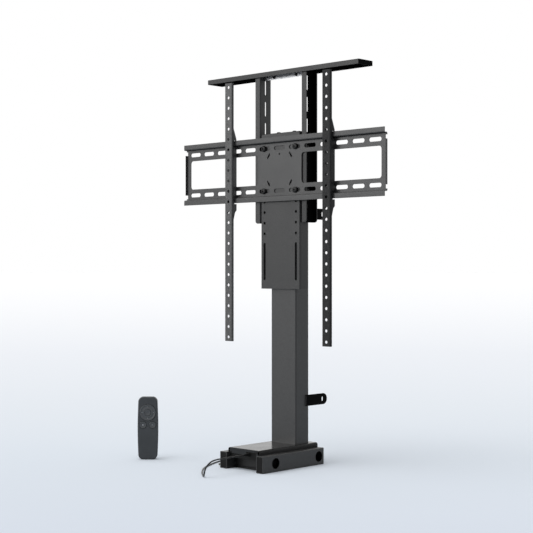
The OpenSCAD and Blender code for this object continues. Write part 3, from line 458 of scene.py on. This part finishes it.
def makeConnector():        # the grip's two widest rings are knurled by ribs
    reliefLong, gripR, gripLong = connectorSet["reliefLong"], connectorSet["gripR"], connectorSet["gripLong"]
    barrelR, long = connectorSet["barrelR"], connectorSet["long"]
    low, high = np.array(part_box("cord_connector")) / mm
    place = ((low[0] + high[0]) / 2, high[1], (low[2] + high[2]) / 2)
    t = np.linspace(0, 1, 49)
    relief = 1.75 + 0.8 * t - 0.3 * np.clip(1.5 - np.abs((5 * t) % 1 - 0.25) * 10, 0, 1) * (t > 0.08)
    profile = [(0, 0)] + list(zip(relief, reliefLong * t))
    profile += [(r, reliefLong + y) for r, y in ((2.6, 0.6), (3.4, 1.1), (4.5, 1.8), (4.75, 2.8))]
    ribbed = (len(profile), len(profile) + 1)
    profile += [(gripR, reliefLong + 3.6), (gripR, gripLong - 2.8)]
    profile += [(r, gripLong - y) for r, y in ((4.75, 1.8), (4.6, 0.8), (4.2, 0.1), (3.4, 0), (0, 0))]
    grip = ringPiece("connectorGrip", [turned(profile, place, (0, -1, 0), points=96, ribs=ribbed)])
    barrel = [(0, 31), (barrelR, 31), (barrelR, long - 0.3), (2.6, long), (1.35, long), (1.25, long - 0.2),
              (1.25, 33.5), (0, 33.3)]
    return grip, ringPiece("connectorBarrel", [turned(barrel, place, (0, -1, 0))])


# Tie that holds the coil: a soft strap right round its turns

tieSet = {"angleDeg": 62, "inner": 12.0, "outer": 28.8, "top": 7.9, "wide": 9, "thick": 0.9, "corner": 3.2}


def makeTie():        # a rounded loop in the plane of the coil's radius and height, swept along its tangent
    across, middle = tieSet["outer"] - tieSet["inner"], (tieSet["outer"] + tieSet["inner"]) / 2
    thick, half, top = tieSet["thick"], tieSet["wide"] / 2, tieSet["top"]
    inside = roundedOutline(across, top - thick, tieSet["corner"])
    outside = roundedOutline(across + 2 * thick, top + thick, tieSet["corner"] + thick)
    angle = math.radians(tieSet["angleDeg"])
    radial = np.array([math.cos(angle), math.sin(angle), 0])
    tangent = np.array([-math.sin(angle), math.cos(angle), 0])
    centre = np.array([*cordSet["coilCentre"], (top + thick) / 2 + 0.02]) + middle * radial
    loops = ((inside, -half), (outside, -half + 0.3), (outside, half - 0.3), (inside, half))
    rings = [centre + loop[:, :1] * radial + loop[:, 1:] * np.array([0, 0, 1.0]) + along * tangent
             for loop, along in loops]
    return ringPiece("coilTieStrap", [np.array(rings)], joined=True)


powerLead, leadLine = makeCord()
finishPiece(powerLead, "base", cordJacket, ["power_cord", "cord_coil", "cord_tail"])
strainRelief = standFor(makeRelief(), "cord_gland")
connectorGrip, connectorBarrel = makeConnector()
standFor(connectorGrip, "cord_connector")
finishPiece(connectorBarrel, "base", cellSteel)
coilTie = finishPiece(makeTie(), "base", tieFabric)


# Steel pieces: the folded sheets and tubes keep their shape and get broken edges and rolled bends

def breakEdges(piece, edgeMm):
    piece.data.shade_smooth()
    edge = piece.modifiers.new("brokenEdge", "BEVEL")
    edge.width = edgeMm * mm
    edge.segments = 2
    edge.limit_method = "ANGLE"
    edge.angle_limit = math.radians(40)
    edge.use_clamp_overlap = False
    evenFaces(piece, keepSharp=False)


def broken(nodeName, pieceName, edgeMm, material=None, reshape=None):
    # The node's own surface, merged, with flat areas joined, smooth over its bends, and edgeMm off each edge;
    # reshape moves its points first, in millimetres
    mesh = nodes[nodeName].data.copy()
    shape = bmesh.new()
    shape.from_mesh(mesh)
    bmesh.ops.remove_doubles(shape, verts=shape.verts, dist=0.002 * mm)
    bmesh.ops.dissolve_limit(shape, angle_limit=math.radians(0.5), verts=shape.verts, edges=shape.edges)
    shape.to_mesh(mesh)
    shape.free()
    if reshape:
        spots = np.empty(3 * len(mesh.vertices))
        mesh.vertices.foreach_get("co", spots)
        mesh.vertices.foreach_set("co", (reshape(spots.reshape(-1, 3) / mm) * mm).ravel())
    piece = bpy.data.objects.new(pieceName, mesh)
    scene.collection.objects.link(piece)
    breakEdges(piece, edgeMm)
    return standFor(piece, nodeName, material)


steelSet = {
    "mounting_plate": ("mountingPlateSheet", 0.25),
    "carriage_plate": ("carriagePlateSheet", 0.25),
    "arm_left": ("leftArmSheet", 0.25),
    "arm_right": ("rightArmSheet", 0.25),
    "upright_left": ("leftUprightSheet", 0.25),
    "upright_right": ("rightUprightSheet", 0.25),
    "lid_plate": ("lidPlateSheet", 0.3),
    "lid_bracket": ("lidBracketSheet", 0.3),
    "tie_bar": ("tieBarSheet", 0.3),
    "column_outer": ("columnTube", 0.3),
    "column_inner": ("innerColumnTube", 0.3),
    "column_head": ("columnHeadPlate", 0.3),
    "base_rail_left": ("leftRailTube", 0.3),
    "base_rail_right": ("rightRailTube", 0.3),
    "base_floor_plate": ("floorPlate", 0.3),
    "front_crossbar": ("frontCrossbarTube", 0.3),
    "rear_crossbar": ("rearCrossbarTube", 0.3),
    "wall_tab_low_right": ("lowRightTabStrip", 0.3),
    "wall_tab_high_right": ("highRightTabStrip", 0.3),
    "wall_tab_low_left": ("lowLeftTabStrip", 0.3),
    "wall_tab_high_left": ("highLeftTabStrip", 0.3),
}
# Pieces whose coat isn't their slot's: copies darkened or lightened as painted shade and painted light
ownCoat = {"carriage_plate": frameSteel, "upright_left": frameSteel, "upright_right": lidSteel,
           "lid_plate": lidSteel, "arm_left": paintedLightSpeckledSteel, "arm_right": shadedSteel}
ownCoat |= {nodeName: tabShadeSteel for nodeName in steelSet if nodeName.startswith("wall_tab")}
uprightSlots = {"middleY": 46.2, "reach": 3.4, "narrower": 1.5}
# The plate's four short slots and the holes behind them: their place in the node, and as photographed
shortSlots = {"middleZ": 689.5, "nodeAway": 33.23, "x": 35, "z": 32.2, "reach": 9, "steeperDeg": 13,
              "holeTurnDeg": 32, "holeLong": 15, "holeWide": 6.5}


def narrowSlots(spots):        # the uprights' slots, drawn 6.6 wide, are 4.4 wide in the photograph
    middle = uprightSlots["middleY"]
    across = spots[:, 1] - middle
    inSlot = np.abs(across) < uprightSlots["reach"]
    return np.stack([spots[:, 0], np.where(inSlot, middle + across / uprightSlots["narrower"], spots[:, 1]),
                     spots[:, 2]], 1)


def turnedSlots(spots):        # the plate's four short slots stand 13 degrees steeper than the node's
    place = spots.copy()
    for x in (-1, 1):
        for z in (-1, 1):
            dx = spots[:, 0] - x * shortSlots["nodeAway"]
            dz = spots[:, 2] - shortSlots["middleZ"] - z * shortSlots["nodeAway"]
            near = np.hypot(dx, dz) < shortSlots["reach"]
            a = math.radians(-shortSlots["steeperDeg"] * x * z)
            middleX, middleZ = x * shortSlots["x"], shortSlots["middleZ"] + z * shortSlots["z"]
            place[near, 0] = (middleX + dx * math.cos(a) - dz * math.sin(a))[near]
            place[near, 2] = (middleZ + dx * math.sin(a) + dz * math.cos(a))[near]
    return place


def widened(middle, newMiddle):        # an arm and its holes, made 25 mm wide from the node's 23
    return lambda spots: np.stack([newMiddle + (spots[:, 0] - middle) * 25 / 23, spots[:, 1], spots[:, 2]], 1)


fineShape = {"upright_left": narrowSlots, "upright_right": narrowSlots,
             "arm_left": widened(-150, -151.6), "arm_right": widened(160, 159), "mounting_plate": turnedSlots}

# Faces given a darker coat as painted shade, chosen from a face's centre c and normal n: channel insides,
# undersides, end faces and hole walls
paintedShadeFaces = {
    "upright_right": lambda c, n: ((n[:, 0] > 0.5) & (c[:, 0] < 70)) | ((n[:, 1] < -0.5) & (c[:, 1] > 40)),
    "lid_plate": lambda c, n: (n[:, 2] < -0.5) | (n[:, 0] > 0.5) | ((n[:, 1] < -0.5) & (c[:, 1] > 40)),
    "mounting_plate": lambda c, n: ((n[:, 0] > 0.5) & (c[:, 0] < -300)) | (n[:, 2] < -0.8),
    "base_cover": lambda c, n: (n[:, 2] < -0.5) | (n[:, 0] > 0.35),
    "carriage_plate": lambda c, n: (n[:, 1] > 0.5) | ((n[:, 1] > -0.5) & (np.abs(c[:, 0]) < 58)),
}


def shadeInside(piece, pick, coat):
    faces = piece.data.polygons
    centre, normal = np.empty(3 * len(faces)), np.empty(3 * len(faces))
    faces.foreach_get("center", centre)
    faces.foreach_get("normal", normal)
    piece.data.materials.append(coat)
    picked = pick(centre.reshape(-1, 3) / mm, normal.reshape(-1, 3))
    faces.foreach_set("material_index", picked.astype(np.int32))


# Carriage: the photograph's channel has sides 26 mm deep below the bracket, and slots behind the plate's

flangeSet = {"inX": 60, "outX": 62, "foldY": 31, "rearY": 52, "corner": 3,
             "spans": ((410, 617.5), (761.5, 772))}


def slotShell(x, z, turnDeg, long, wide, front, back):        # an upright slot's outline, swept along Y
    half = np.radians(np.linspace(0, 180, 13))
    reach = (long - wide) / 2
    top = np.stack([wide / 2 * np.cos(half), reach + wide / 2 * np.sin(half)], 1)
    outline = np.vstack([top, -top])
    a = math.radians(turnDeg)
    flat = outline @ np.array([[math.cos(a), math.sin(a)], [-math.sin(a), math.cos(a)]]) + (x, z)
    return np.array([np.stack([flat[:, 0], np.full(len(flat), float(y)), flat[:, 1]], 1)
                     for y in (front, back)])


def cutAway(piece, cutters):        # takes the cutters out of the piece for good
    for cutter in cutters:
        hole = piece.modifiers.new("hole", "BOOLEAN")
        hole.object = cutter
        hole.solver = "EXACT"
    solid = piece.evaluated_get(bpy.context.evaluated_depsgraph_get())
    mesh = bpy.data.meshes.new_from_object(solid)
    mesh.name = piece.name
    piece.modifiers.clear()
    piece.data = mesh
    for cutter in cutters:
        bpy.data.objects.remove(cutter)
    closeSkin(mesh, 30)


def sideShell(side, low, high):        # a flat strip with round rear corners, on the sheet's own fold
    foldY, r = flangeSet["foldY"], flangeSet["corner"]
    quarter = np.radians(np.linspace(0, 90, 7))
    corner = [(flangeSet["rearY"] - r + r * math.sin(a), low + r - r * math.cos(a)) for a in quarter]
    outline = [(foldY, low)] + corner + [(y, low + high - z) for y, z in reversed(corner)] + [(foldY, high)]
    return np.array([[(side * x, y, z) for y, z in outline] for x in (flangeSet["inX"], flangeSet["outX"])])


def shortSlotHole(x, z):        # what the carriage loses behind one of the plate's short slots
    middle = (x * shortSlots["x"], shortSlots["middleZ"] + z * shortSlots["z"])
    size = (-x * z * shortSlots["holeTurnDeg"], shortSlots["holeLong"], shortSlots["holeWide"])
    return ringPiece("arcCut", [slotShell(*middle, *size, 25, 30)])


for nodeName, (pieceName, edgeMm) in steelSet.items():
    sheet = broken(nodeName, pieceName, edgeMm, ownCoat.get(nodeName), fineShape.get(nodeName))
    if nodeName == "carriage_plate":
        sheet.modifiers.clear()
        cutAway(sheet, [shortSlotHole(x, z) for x in (-1, 1) for z in (-1, 1)])
        breakEdges(sheet, edgeMm)
    # Channel insides, undersides, end faces and hole walls take the near-black coat: painted shade
    if nodeName in paintedShadeFaces:
        shadeInside(sheet, paintedShadeFaces[nodeName], paintedShadeSteel)
deepSides = ringPiece("carriageSideFlanges", [sideShell(side, low, high) for side in (-1, 1)
                                              for low, high in flangeSet["spans"]])
evenFaces(deepSides)
finishPiece(deepSides, "carriage", frameSteel)
# The base cover's undersides and side rolls take the right arm's dark coat: painted shade
shadeInside(broken("base_cover", "baseCoverSheet", 0.3, coverSteel), paintedShadeFaces["base_cover"], shadedSteel)
print("steel pieces made")


# Screws, bolts and nuts: one closed shell each, from the thread's tip over the head into its socket

def screwShell(place, axis, headD, headH, shankD, shankLong, pitch, socket, recess=False):
    # the seat lies at place and the head stands out along axis; socket is its width and depth
    crown = socket[0] / 2 * 1.25
    tip = [(0, -shankLong), (shankD / 2 - 0.6 * pitch, -shankLong),
           (shankD / 2 - 0.2 * pitch, -shankLong + pitch / 2)]
    thread = threaded(place, axis, shankD / 2, pitch, -shankLong + pitch / 2, -0.8)
    bow = np.radians(np.linspace(0, 90, 8))
    dome = [(crown + (headD / 2 - crown) * np.cos(a), headH * (0.45 + 0.55 * np.sin(a))) for a in bow]
    head = [(shankD / 2, -0.7), (shankD / 2, 0), (headD / 2 - 0.3, 0), (headD / 2, 0.25)] + dome
    hole = [(socket[0] / 2 * 1.08, headH), (socket[0] / 2, headH - 0.3), (socket[0] / 2, headH - socket[1]),
            (0, headH - socket[1] - 0.4)]
    drive = {"cross" if recess else "sides": (1, 2)}
    return np.concatenate([turned(tip, place, axis), thread, turned(head, place, axis),
                           turned(hole, place, axis, **drive)])


def nutShell(place, axis, acrossFlats, high, bore):        # a hexagon, its corners turned away at both ends
    flat = acrossFlats / 2
    profile = [(bore / 2, 0), (flat * 0.97, 0), (flat, 0.5), (flat, high - 0.5), (flat * 0.97, high),
               (bore / 2 + 0.3, high), (bore / 2, high - 0.3)]
    return turned(profile, place, axis, sides=(2, 3))


plateCorners = [(x, 689.5 + z) for x in (-50, 50) for z in (-50, 50)]        # the 100 mm square
screwSet = {        # node: name, seats, axis, head and shank (width, length), pitch, socket, cross recess
    "plate_bolts": ("plateBoltHeads", [(x, 24, z) for x, z in plateCorners],
                    (0, -1, 0), (14, 4.5), (6, 8.5), 1.0, (4, 2.6), False),
    "head_screws": ("headScrewHeads", [(x, 60 + y, 775) for x in (-25, 25) for y in (-11.5, 11.5)],
                    (0, 0, 1), (10, 4.2), (4, 7), 0.7, (4.6, 2.2), True),
    "lid_screws": ("lidScrewHeads", [(x, 43.5, 909.08) for x in (-35, 35)],
                   (0, -1, 0), (7.5, 2.2), (4, 7.5), 0.7, (3.9, 1.4), True),
}
for nodeName, (pieceName, seats, axis, head, shank, pitch, socket, recess) in screwSet.items():
    screws = [screwShell(seat, axis, *head, *shank, pitch, socket, recess) for seat in seats]
    standFor(ringPiece(pieceName, screws), nodeName)

channelSeats = [(side, uprightSlots["middleY"], z) for side in (-1, 1) for z in (637, 737)]
sideBolts = [screwShell((side * 67.6, y, z), (side, 0, 0), 10.5, 3.4, 4, 9.7, 0.7, (4, 2.2))
             for side, y, z in channelSeats]
standFor(ringPiece("channelBoltHeads", sideBolts), "channel_bolts")
sideNuts = [nutShell((side * 62.8, y, z), (-side, 0, 0), 9.9, 5, 4) for side, y, z in channelSeats]
standFor(ringPiece("channelHexNuts", sideNuts, joined=True), "channel_nuts")
lidNuts = [nutShell((x, 47.5, 909.08), (0, 1, 0), 6.9, 3.2, 4) for x in (-35, 35)]
standFor(ringPiece("lidHexNuts", lidNuts, joined=True), "lid_nuts")
for nodeName, pieceName, x in (("arm_lock_left", "leftLockScrew", -151.6),
                               ("arm_lock_right", "rightLockScrew", 159)):
    lockScrew = screwShell((x, 20.2, 599.5), (0, 0, -1), 9, 3, 5, 20, 0.8, (4.4, 1.9), True)
    standFor(ringPiece(pieceName, [lockScrew]), nodeName)

pressProfile = [(3, 0.3), (3.3, 0), (5.0, 0), (5.25, 0.3), (5.25, 1.6), (4.5, 1.9), (4.5, 4.7), (4.2, 5),
                (3.3, 5), (3, 4.7)]
pressNuts = [turned(pressProfile, (x, 28, z), (0, 1, 0), points=96, ribs=(3, 4)) for x, z in plateCorners]
standFor(ringPiece("plateClinchNuts", pressNuts, joined=True), "press_nuts")
print("fasteners made")


# Lift screw: journal, flange and a two-start rolled thread of 4 mm pitch

liftSet = {"place": (0, 60, 0), "journalR": 4, "flangeR": 8, "r": 6, "pitch": 4, "low": 99, "seat": 119.2,
           "high": 676}


def makeLiftScrew():
    place, up, points = liftSet["place"], (0, 0, 1), 32
    low, seat, high = liftSet["low"], liftSet["seat"], liftSet["high"]
    journalR, flangeR = liftSet["journalR"], liftSet["flangeR"]
    foot = [(0, low), (journalR - 0.3, low), (journalR, low + 0.4), (journalR, seat - 3)]
    foot += [(flangeR - 0.4, seat - 3), (flangeR, seat - 2.6), (flangeR, seat - 0.4),
             (flangeR - 0.4, seat), (5, seat)]
    thread = threaded(place, up, liftSet["r"], liftSet["pitch"], seat + 0.1, high - 1, points, starts=2)
    top = [(4.5, high), (0, high)]
    return ringPiece("liftScrewThread", [np.concatenate([turned(foot, place, up, points), thread,
                                                         turned(top, place, up, points)])])


standFor(makeLiftScrew(), "lift_screw")


# Rail end plugs: black nylon set into the tubes, its front edge rounded and its sides finned to grip

plugSet = {"wide": 17, "high": 34.5, "long": 6, "edge": 1.6, "corner": 1.9, "fin": 0.25, "railEnd": 103,
           "middleZ": 19.25}


def plugShell(x, end):        # rings from the front face back; the fins stand above the body
    front = roundOver(plugSet["edge"], 5)
    fins = np.linspace(plugSet["edge"] + 0.4, plugSet["long"], 13)
    back = [(plugSet["fin"] * (k % 4 not in (1, 2)), depth) for k, depth in enumerate(fins)]
    rings = []
    for inset, depth in front + back:
        outline = roundedOutline(plugSet["wide"] - 2 * inset, plugSet["high"] - 2 * inset, plugSet["corner"])
        rings.append(np.stack([x + outline[:, 0], np.full(len(outline), end * (plugSet["railEnd"] - depth)),
                               plugSet["middleZ"] + outline[:, 1]], 1))
    return np.array(rings)


railPlugs = ringPiece("railEndPlugs", [plugShell(x, end) for x in (-57.5, 57.5) for end in (-1, 1)])
evenFaces(railPlugs)
standFor(railPlugs, "rail_end_plugs")


# Weld beads: small rippled fillets where the wall tabs and the tie bar meet what carries them

def weldBead(start, end, radius):        # r = radius (1 + 0.14 sin(2 pi s / 1.9 mm)), pointed at both ends
    start, end = np.array(start, float), np.array(end, float)
    long = np.linalg.norm(end - start)
    s = np.linspace(0, 1, int(long / 0.3) + 2)
    taper = np.minimum(1, np.sqrt(np.minimum(s, 1 - s) * 12))
    bulge = radius * (1 + 0.14 * np.sin(2 * np.pi * s * long / 1.9)) * taper
    angle = np.arange(14) * 2 * np.pi / 14
    return aroundAxis(start, (end - start) / long, s * long, np.repeat(bulge[:, None], len(angle), 1), angle)


weldSet = {        # body, the upright beads' place either side, the heights that each runs between, radius
    "wallTabWelds": ("base", (40.6, 70.9), ((137, 161), (574, 598)), 1.3),
    "tieBarWelds": ("lid_frame", (65.2, 43.4), ((905, 917),), 1.1),
}
for pieceName, (body, (x, y), spans, radius) in weldSet.items():
    beads = [weldBead((side * x, y, low), (side * x, y, high), radius)
             for side in (-1, 1) for low, high in spans]
    finishPiece(ringPiece(pieceName, beads, sharpDeg=70), body, coatedSteel)
print("base and lift fittings made")


# Hand control: two moulded shells with a swelling outline, a dished ring key and three round keys.
# It is drawn upright with its face to -Y, then turned and set in its place.

handSet = {
    "place": (-288, -130, 0), "turnDeg": 43.6,
    "wide": 49, "high": 150, "deep": 18, "corner": 12, "swell": 1.6,
    "splitY": -1, "wall": 2, "edge": 2.6, "backEdge": 4.5, "keyOut": -10, "keyIn": -3.6,
    "ringZ": 112.5, "ringR": 19.6, "centreR": 7.6, "pairX": 11.4, "pairZ": 83, "keyR": 8.2, "keyGap": 0.35,
}


def handPlace(points):        # from the control's own frame to the stand's
    turn = math.radians(handSet["turnDeg"])
    x, y, z = points[..., 0], points[..., 1], points[..., 2]
    return np.stack([x * math.cos(turn) - y * math.sin(turn), x * math.sin(turn) + y * math.cos(turn), z],
                    -1) + np.array(handSet["place"], float)


def barrelRing(inset, y):        # round corners, and sides that swell by swell (1 - t^2)^1.3
    radius = handSet["corner"] - inset
    wide, high = handSet["wide"] / 2 - handSet["swell"] - inset, handSet["high"] / 2 - inset
    quarter = np.radians(np.linspace(0, 90, 11))
    t = np.linspace(-1, 1, 33)[1:-1]
    corner = np.stack([wide - radius + radius * np.cos(quarter), high - radius + radius * np.sin(quarter)], 1)
    side = np.stack([wide + handSet["swell"] * (1 - t ** 2) ** 1.3, t * (high - radius)], 1)
    right = np.vstack([corner[::-1] * (1, -1), side, corner])
    outline = np.vstack([right, right[::-1] * (-1, 1)])
    return np.stack([outline[:, 0], np.full(len(outline), float(y)), outline[:, 1] + handSet["high"] / 2], 1)


def makeHandShells():
    face, split, wall = -handSet["deep"] / 2, handSet["splitY"], handSet["wall"]
    front = [(wall, face + wall + 0.6), (wall, split), (0.35, split), (0, split - 0.35)]
    front += [(inset, face + depth) for inset, depth in reversed(roundOver(handSet["edge"], 8))]
    frontShell = ringPiece("handFrontShell", [handPlace(np.array([barrelRing(i, y) for i, y in front]))])
    keyHoles = [(0, handSet["ringZ"], handSet["ringR"])]
    keyHoles += [(x * handSet["pairX"], handSet["pairZ"], handSet["keyR"]) for x in (-1, 1)]
    cutters = []
    for x, z, radius in keyHoles:        # each hole's mouth is eased by a small flare
        r = radius + handSet["keyGap"]
        profile = [(0, -0.5), (r, -0.5), (r, -face - 0.45), (r + 0.12, -face - 0.2), (r + 0.45, -face),
                   (r + 0.7, -face + 1), (0, -face + 1)]
        cutters.append(ringPiece("keyHole", [handPlace(turned(profile, (x, 0, z), (0, -1, 0), points=96))]))
    cutAway(frontShell, cutters)
    back = [(wall, -face - wall - 0.6), (wall, split + 0.01), (0.35, split + 0.01), (0, split + 0.35)]
    back += [(inset, -face - depth) for inset, depth in reversed(roundOver(handSet["backEdge"], 10))]
    backShell = ringPiece("handBackShell", [handPlace(np.array([barrelRing(i, y) for i, y in back]))])
    for shell in (frontShell, backShell):
        evenFaces(shell)
    return frontShell, backShell


def keyPiece(pieceName, profile, x, z, joined=False):        # profile: radius, and depth towards the viewer
    return ringPiece(pieceName, [handPlace(turned(profile, (x, 0, z), (0, -1, 0), points=96))], joined=joined)


def roundKeyProfile(radius):        # a raised rim round a shallow dish: h = top - 0.55 (1 - (r / rim)^2)
    top, bottom = -handSet["keyOut"], -handSet["keyIn"]
    rim = radius - 1.1
    dish = [(r, top - 0.1 - 0.55 * (1 - (r / rim) ** 2)) for r in np.linspace(0, rim, 9)]
    return dish + [(radius - 0.8, top), (radius - 0.45, top - 0.05), (radius - 0.15, top - 0.3),
                   (radius, top - 0.75), (radius, bottom), (0, bottom)]


def ringKeyProfile():        # a dish between two rims, the outer the higher: 0.9 sin^2(pi t^1.3) deep
    top, bottom = -handSet["keyOut"], -handSet["keyIn"]
    inner, outer = handSet["centreR"] + handSet["keyGap"], handSet["ringR"]
    t = np.linspace(0, 1, 15)
    dish = list(zip(inner + 0.7 + (outer - inner - 1.9) * t,
                    top - 0.45 + 0.45 * t - 0.9 * np.sin(np.pi * t ** 1.3) ** 2))
    return [(inner, bottom), (inner, top - 1.0), (inner + 0.2, top - 0.6)] + dish + [
        (outer - 0.7, top - 0.05), (outer - 0.25, top - 0.35), (outer, top - 0.9), (outer, bottom)]


def markShell(shape, x, z, size, turnDeg=0):        # a thin print: a plain triangle, square or bar on a key
    corners = {"arrow": [(-0.9, -0.5), (0.9, -0.5), (0, 0.8)],
               "square": [(-0.7, -0.7), (0.7, -0.7), (0.7, 0.7), (-0.7, 0.7)],
               "bar": [(-1, -0.22), (1, -0.22), (1, 0.22), (-1, 0.22)]}[shape]
    a = math.radians(turnDeg)
    turn = np.array([[math.cos(a), math.sin(a)], [-math.sin(a), math.cos(a)]])
    flat = np.array(corners) @ turn * size
    top = -handSet["keyOut"]
    rings = [np.stack([x + flat[:, 0], np.full(len(flat), -y), z + flat[:, 1]], 1)
             for y in (top - 1.2, top - 0.02)]
    return handPlace(np.array(rings))


frontShell, backShell = makeHandShells()
standFor(frontShell, "hand_front_shell")
standFor(backShell, "hand_back_shell")
standFor(keyPiece("ringKeyDish", ringKeyProfile(), 0, handSet["ringZ"], joined=True), "hand_ring_key")
capSet = {        # node: name, radius, place
    "hand_centre_key": ("centreKeyCap", handSet["centreR"], 0, handSet["ringZ"]),
    "hand_left_key": ("leftKeyCap", handSet["keyR"], -handSet["pairX"], handSet["pairZ"]),
    "hand_right_key": ("rightKeyCap", handSet["keyR"], handSet["pairX"], handSet["pairZ"]),
}
for nodeName, (pieceName, radius, x, z) in capSet.items():
    standFor(keyPiece(pieceName, roundKeyProfile(radius), x, z), nodeName)
markReach = (handSet["centreR"] + handSet["ringR"]) / 2
ringMarks = [markShell("arrow", markReach * math.sin(a), handSet["ringZ"] + markReach * math.cos(a), 1.1,
                       -math.degrees(a)) for a in np.radians([0, 90, 180, 270])]
finishPiece(ringPiece("ringKeyMarks", ringMarks), "ring_key", markInk)
for pieceName, body, x, shape in (("leftKeyMark", "left_key", -1, "square"),
                                  ("rightKeyMark", "right_key", 1, "bar")):
    mark = markShell(shape, x * handSet["pairX"], handSet["pairZ"], 1.8)
    finishPiece(ringPiece(pieceName, [mark]), body, markInk)
print("hand control made")


# Stage: pale paper that fades to white far off, two soft suns and a plain room

stageSet = {
    "paperNear": 2.2,        # metres from paperCentre, where the ramp's value is 1; it falls as 1 / distance
    "paperStops": [(0.0, "#ffffff"), (0.13, "#f9fafc"), (0.32, "#eceff4"), (0.51, "#e4e9ef"),
                   (0.70, "#dde4ec"), (0.99, "#d7dee8")],
    "paperCentre": (2.02, -2.14, 0.0), "paperRadius": 90.0,
    "ambient": 0.55,
    # each wall: where it lies, the cosine where it begins and where it is full, and what it adds
    "walls": [((-0.55, -0.83, 0.1), 0.5, 0.95, 0.7), ((0.70, -0.71, 0.05), 0.45, 0.95, -0.3)],
    # each sun: name, power, softness, the direction that it shines from, and whether it lights the floor
    "suns": [("keySun", 1.55, 42, (-0.42, -0.87, 0.27), False),
             ("topSun", 1.43, 60, (-0.15, -0.25, 0.95), True)],
}


def makeFloor():        # paper whose tint follows paperNear / distance from paperCentre
    mesh = bpy.data.meshes.new("studioFloor")
    r = stageSet["paperRadius"]
    mesh.from_pydata([(-r, -r, 0), (r, -r, 0), (r, r, 0), (-r, r, 0)], [], [(0, 1, 2, 3)])
    floor = bpy.data.objects.new("studioFloor", mesh)
    scene.collection.objects.link(floor)
    material, tree, shader, place = startMaterial("studioPaper")
    centre = addNode(tree, "ShaderNodeVectorMath", {"operation": "DISTANCE", 1: stageSet["paperCentre"]},
                     {0: place})
    ratio = addNode(tree, "ShaderNodeMath", {"operation": "DIVIDE", 0: stageSet["paperNear"]},
                    {1: centre.outputs["Value"]})
    ramp = addNode(tree, "ShaderNodeValToRGB", (), {"Fac": ratio.outputs[0]})
    stops = ramp.color_ramp.elements
    while len(stops) < len(stageSet["paperStops"]):
        stops.new(0.5)
    for stop, (where, tint) in zip(stops, stageSet["paperStops"]):
        stop.position = where
        stop.color = toLinear(tint)
    tree.links.new(ramp.outputs["Color"], shader.inputs["Base Color"])
    shader.inputs["Roughness"].default_value = 1.0
    shader.inputs["Specular IOR Level"].default_value = 0.0
    paint(floor, material)


def makeRoom():        # the walls light the stand; the camera, and what the metal mirrors, meet plain white
    world = bpy.data.worlds.new("studioRoom")
    scene.world = world
    world.use_nodes = True
    tree = world.node_tree
    tree.nodes.clear()
    toward = addNode(tree, "ShaderNodeTexCoord").outputs["Generated"]
    level = addNode(tree, "ShaderNodeValue")
    level.outputs[0].default_value = stageSet["ambient"]
    level = level.outputs[0]
    for direction, begin, full, power in stageSet["walls"]:
        facing = addNode(tree, "ShaderNodeVectorMath", {"operation": "DOT_PRODUCT", 1: direction},
                         {0: toward})
        wall = addNode(tree, "ShaderNodeMapRange", {"interpolation_type": "SMOOTHSTEP", "From Min": begin,
                                                    "From Max": full, "To Max": power},
                       {"Value": facing.outputs["Value"]})
        level = addNode(tree, "ShaderNodeMath", {"operation": "ADD"},
                        {0: level, 1: wall.outputs[0]}).outputs[0]
    light = addNode(tree, "ShaderNodeBackground", (), {"Strength": level})
    seen = addNode(tree, "ShaderNodeBackground", {"Strength": 1.0})
    for lamp in (light, seen):
        lamp.inputs["Color"].default_value = (1, 1, 1, 1)
    path = addNode(tree, "ShaderNodeLightPath").outputs
    white = addNode(tree, "ShaderNodeMath", {"operation": "MAXIMUM"},
                    {0: path["Is Camera Ray"], 1: path["Is Glossy Ray"]})
    white = addNode(tree, "ShaderNodeMath", {"operation": "MAXIMUM"},
                    {0: white.outputs[0], 1: path["Is Transmission Ray"]})
    mix = addNode(tree, "ShaderNodeMixShader", (),
                  {0: white.outputs[0], 1: light.outputs[0], 2: seen.outputs[0]})
    addNode(tree, "ShaderNodeOutputWorld", (), {"Surface": mix.outputs[0]})


def makeSun(name, power, softDeg, source, onFloor):        # the low sun leaves the floor even
    data = bpy.data.lights.new(name, "SUN")
    data.energy = power
    data.angle = math.radians(softDeg)
    sun = bpy.data.objects.new(name, data)
    sun.rotation_euler = Vector(source).to_track_quat("Z", "Y").to_euler()
    scene.collection.objects.link(sun)
    if not onFloor:
        spared = bpy.data.collections.new(name + "Spares")
        spared.objects.link(bpy.data.objects["studioFloor"])
        spared.collection_objects[0].light_linking.link_state = "EXCLUDE"
        sun.light_linking.receiver_collection = spared


makeFloor()
makeRoom()
for sun in stageSet["suns"]:
    makeSun(*sun)
scene.view_settings.view_transform = "Standard"
print("stage set")
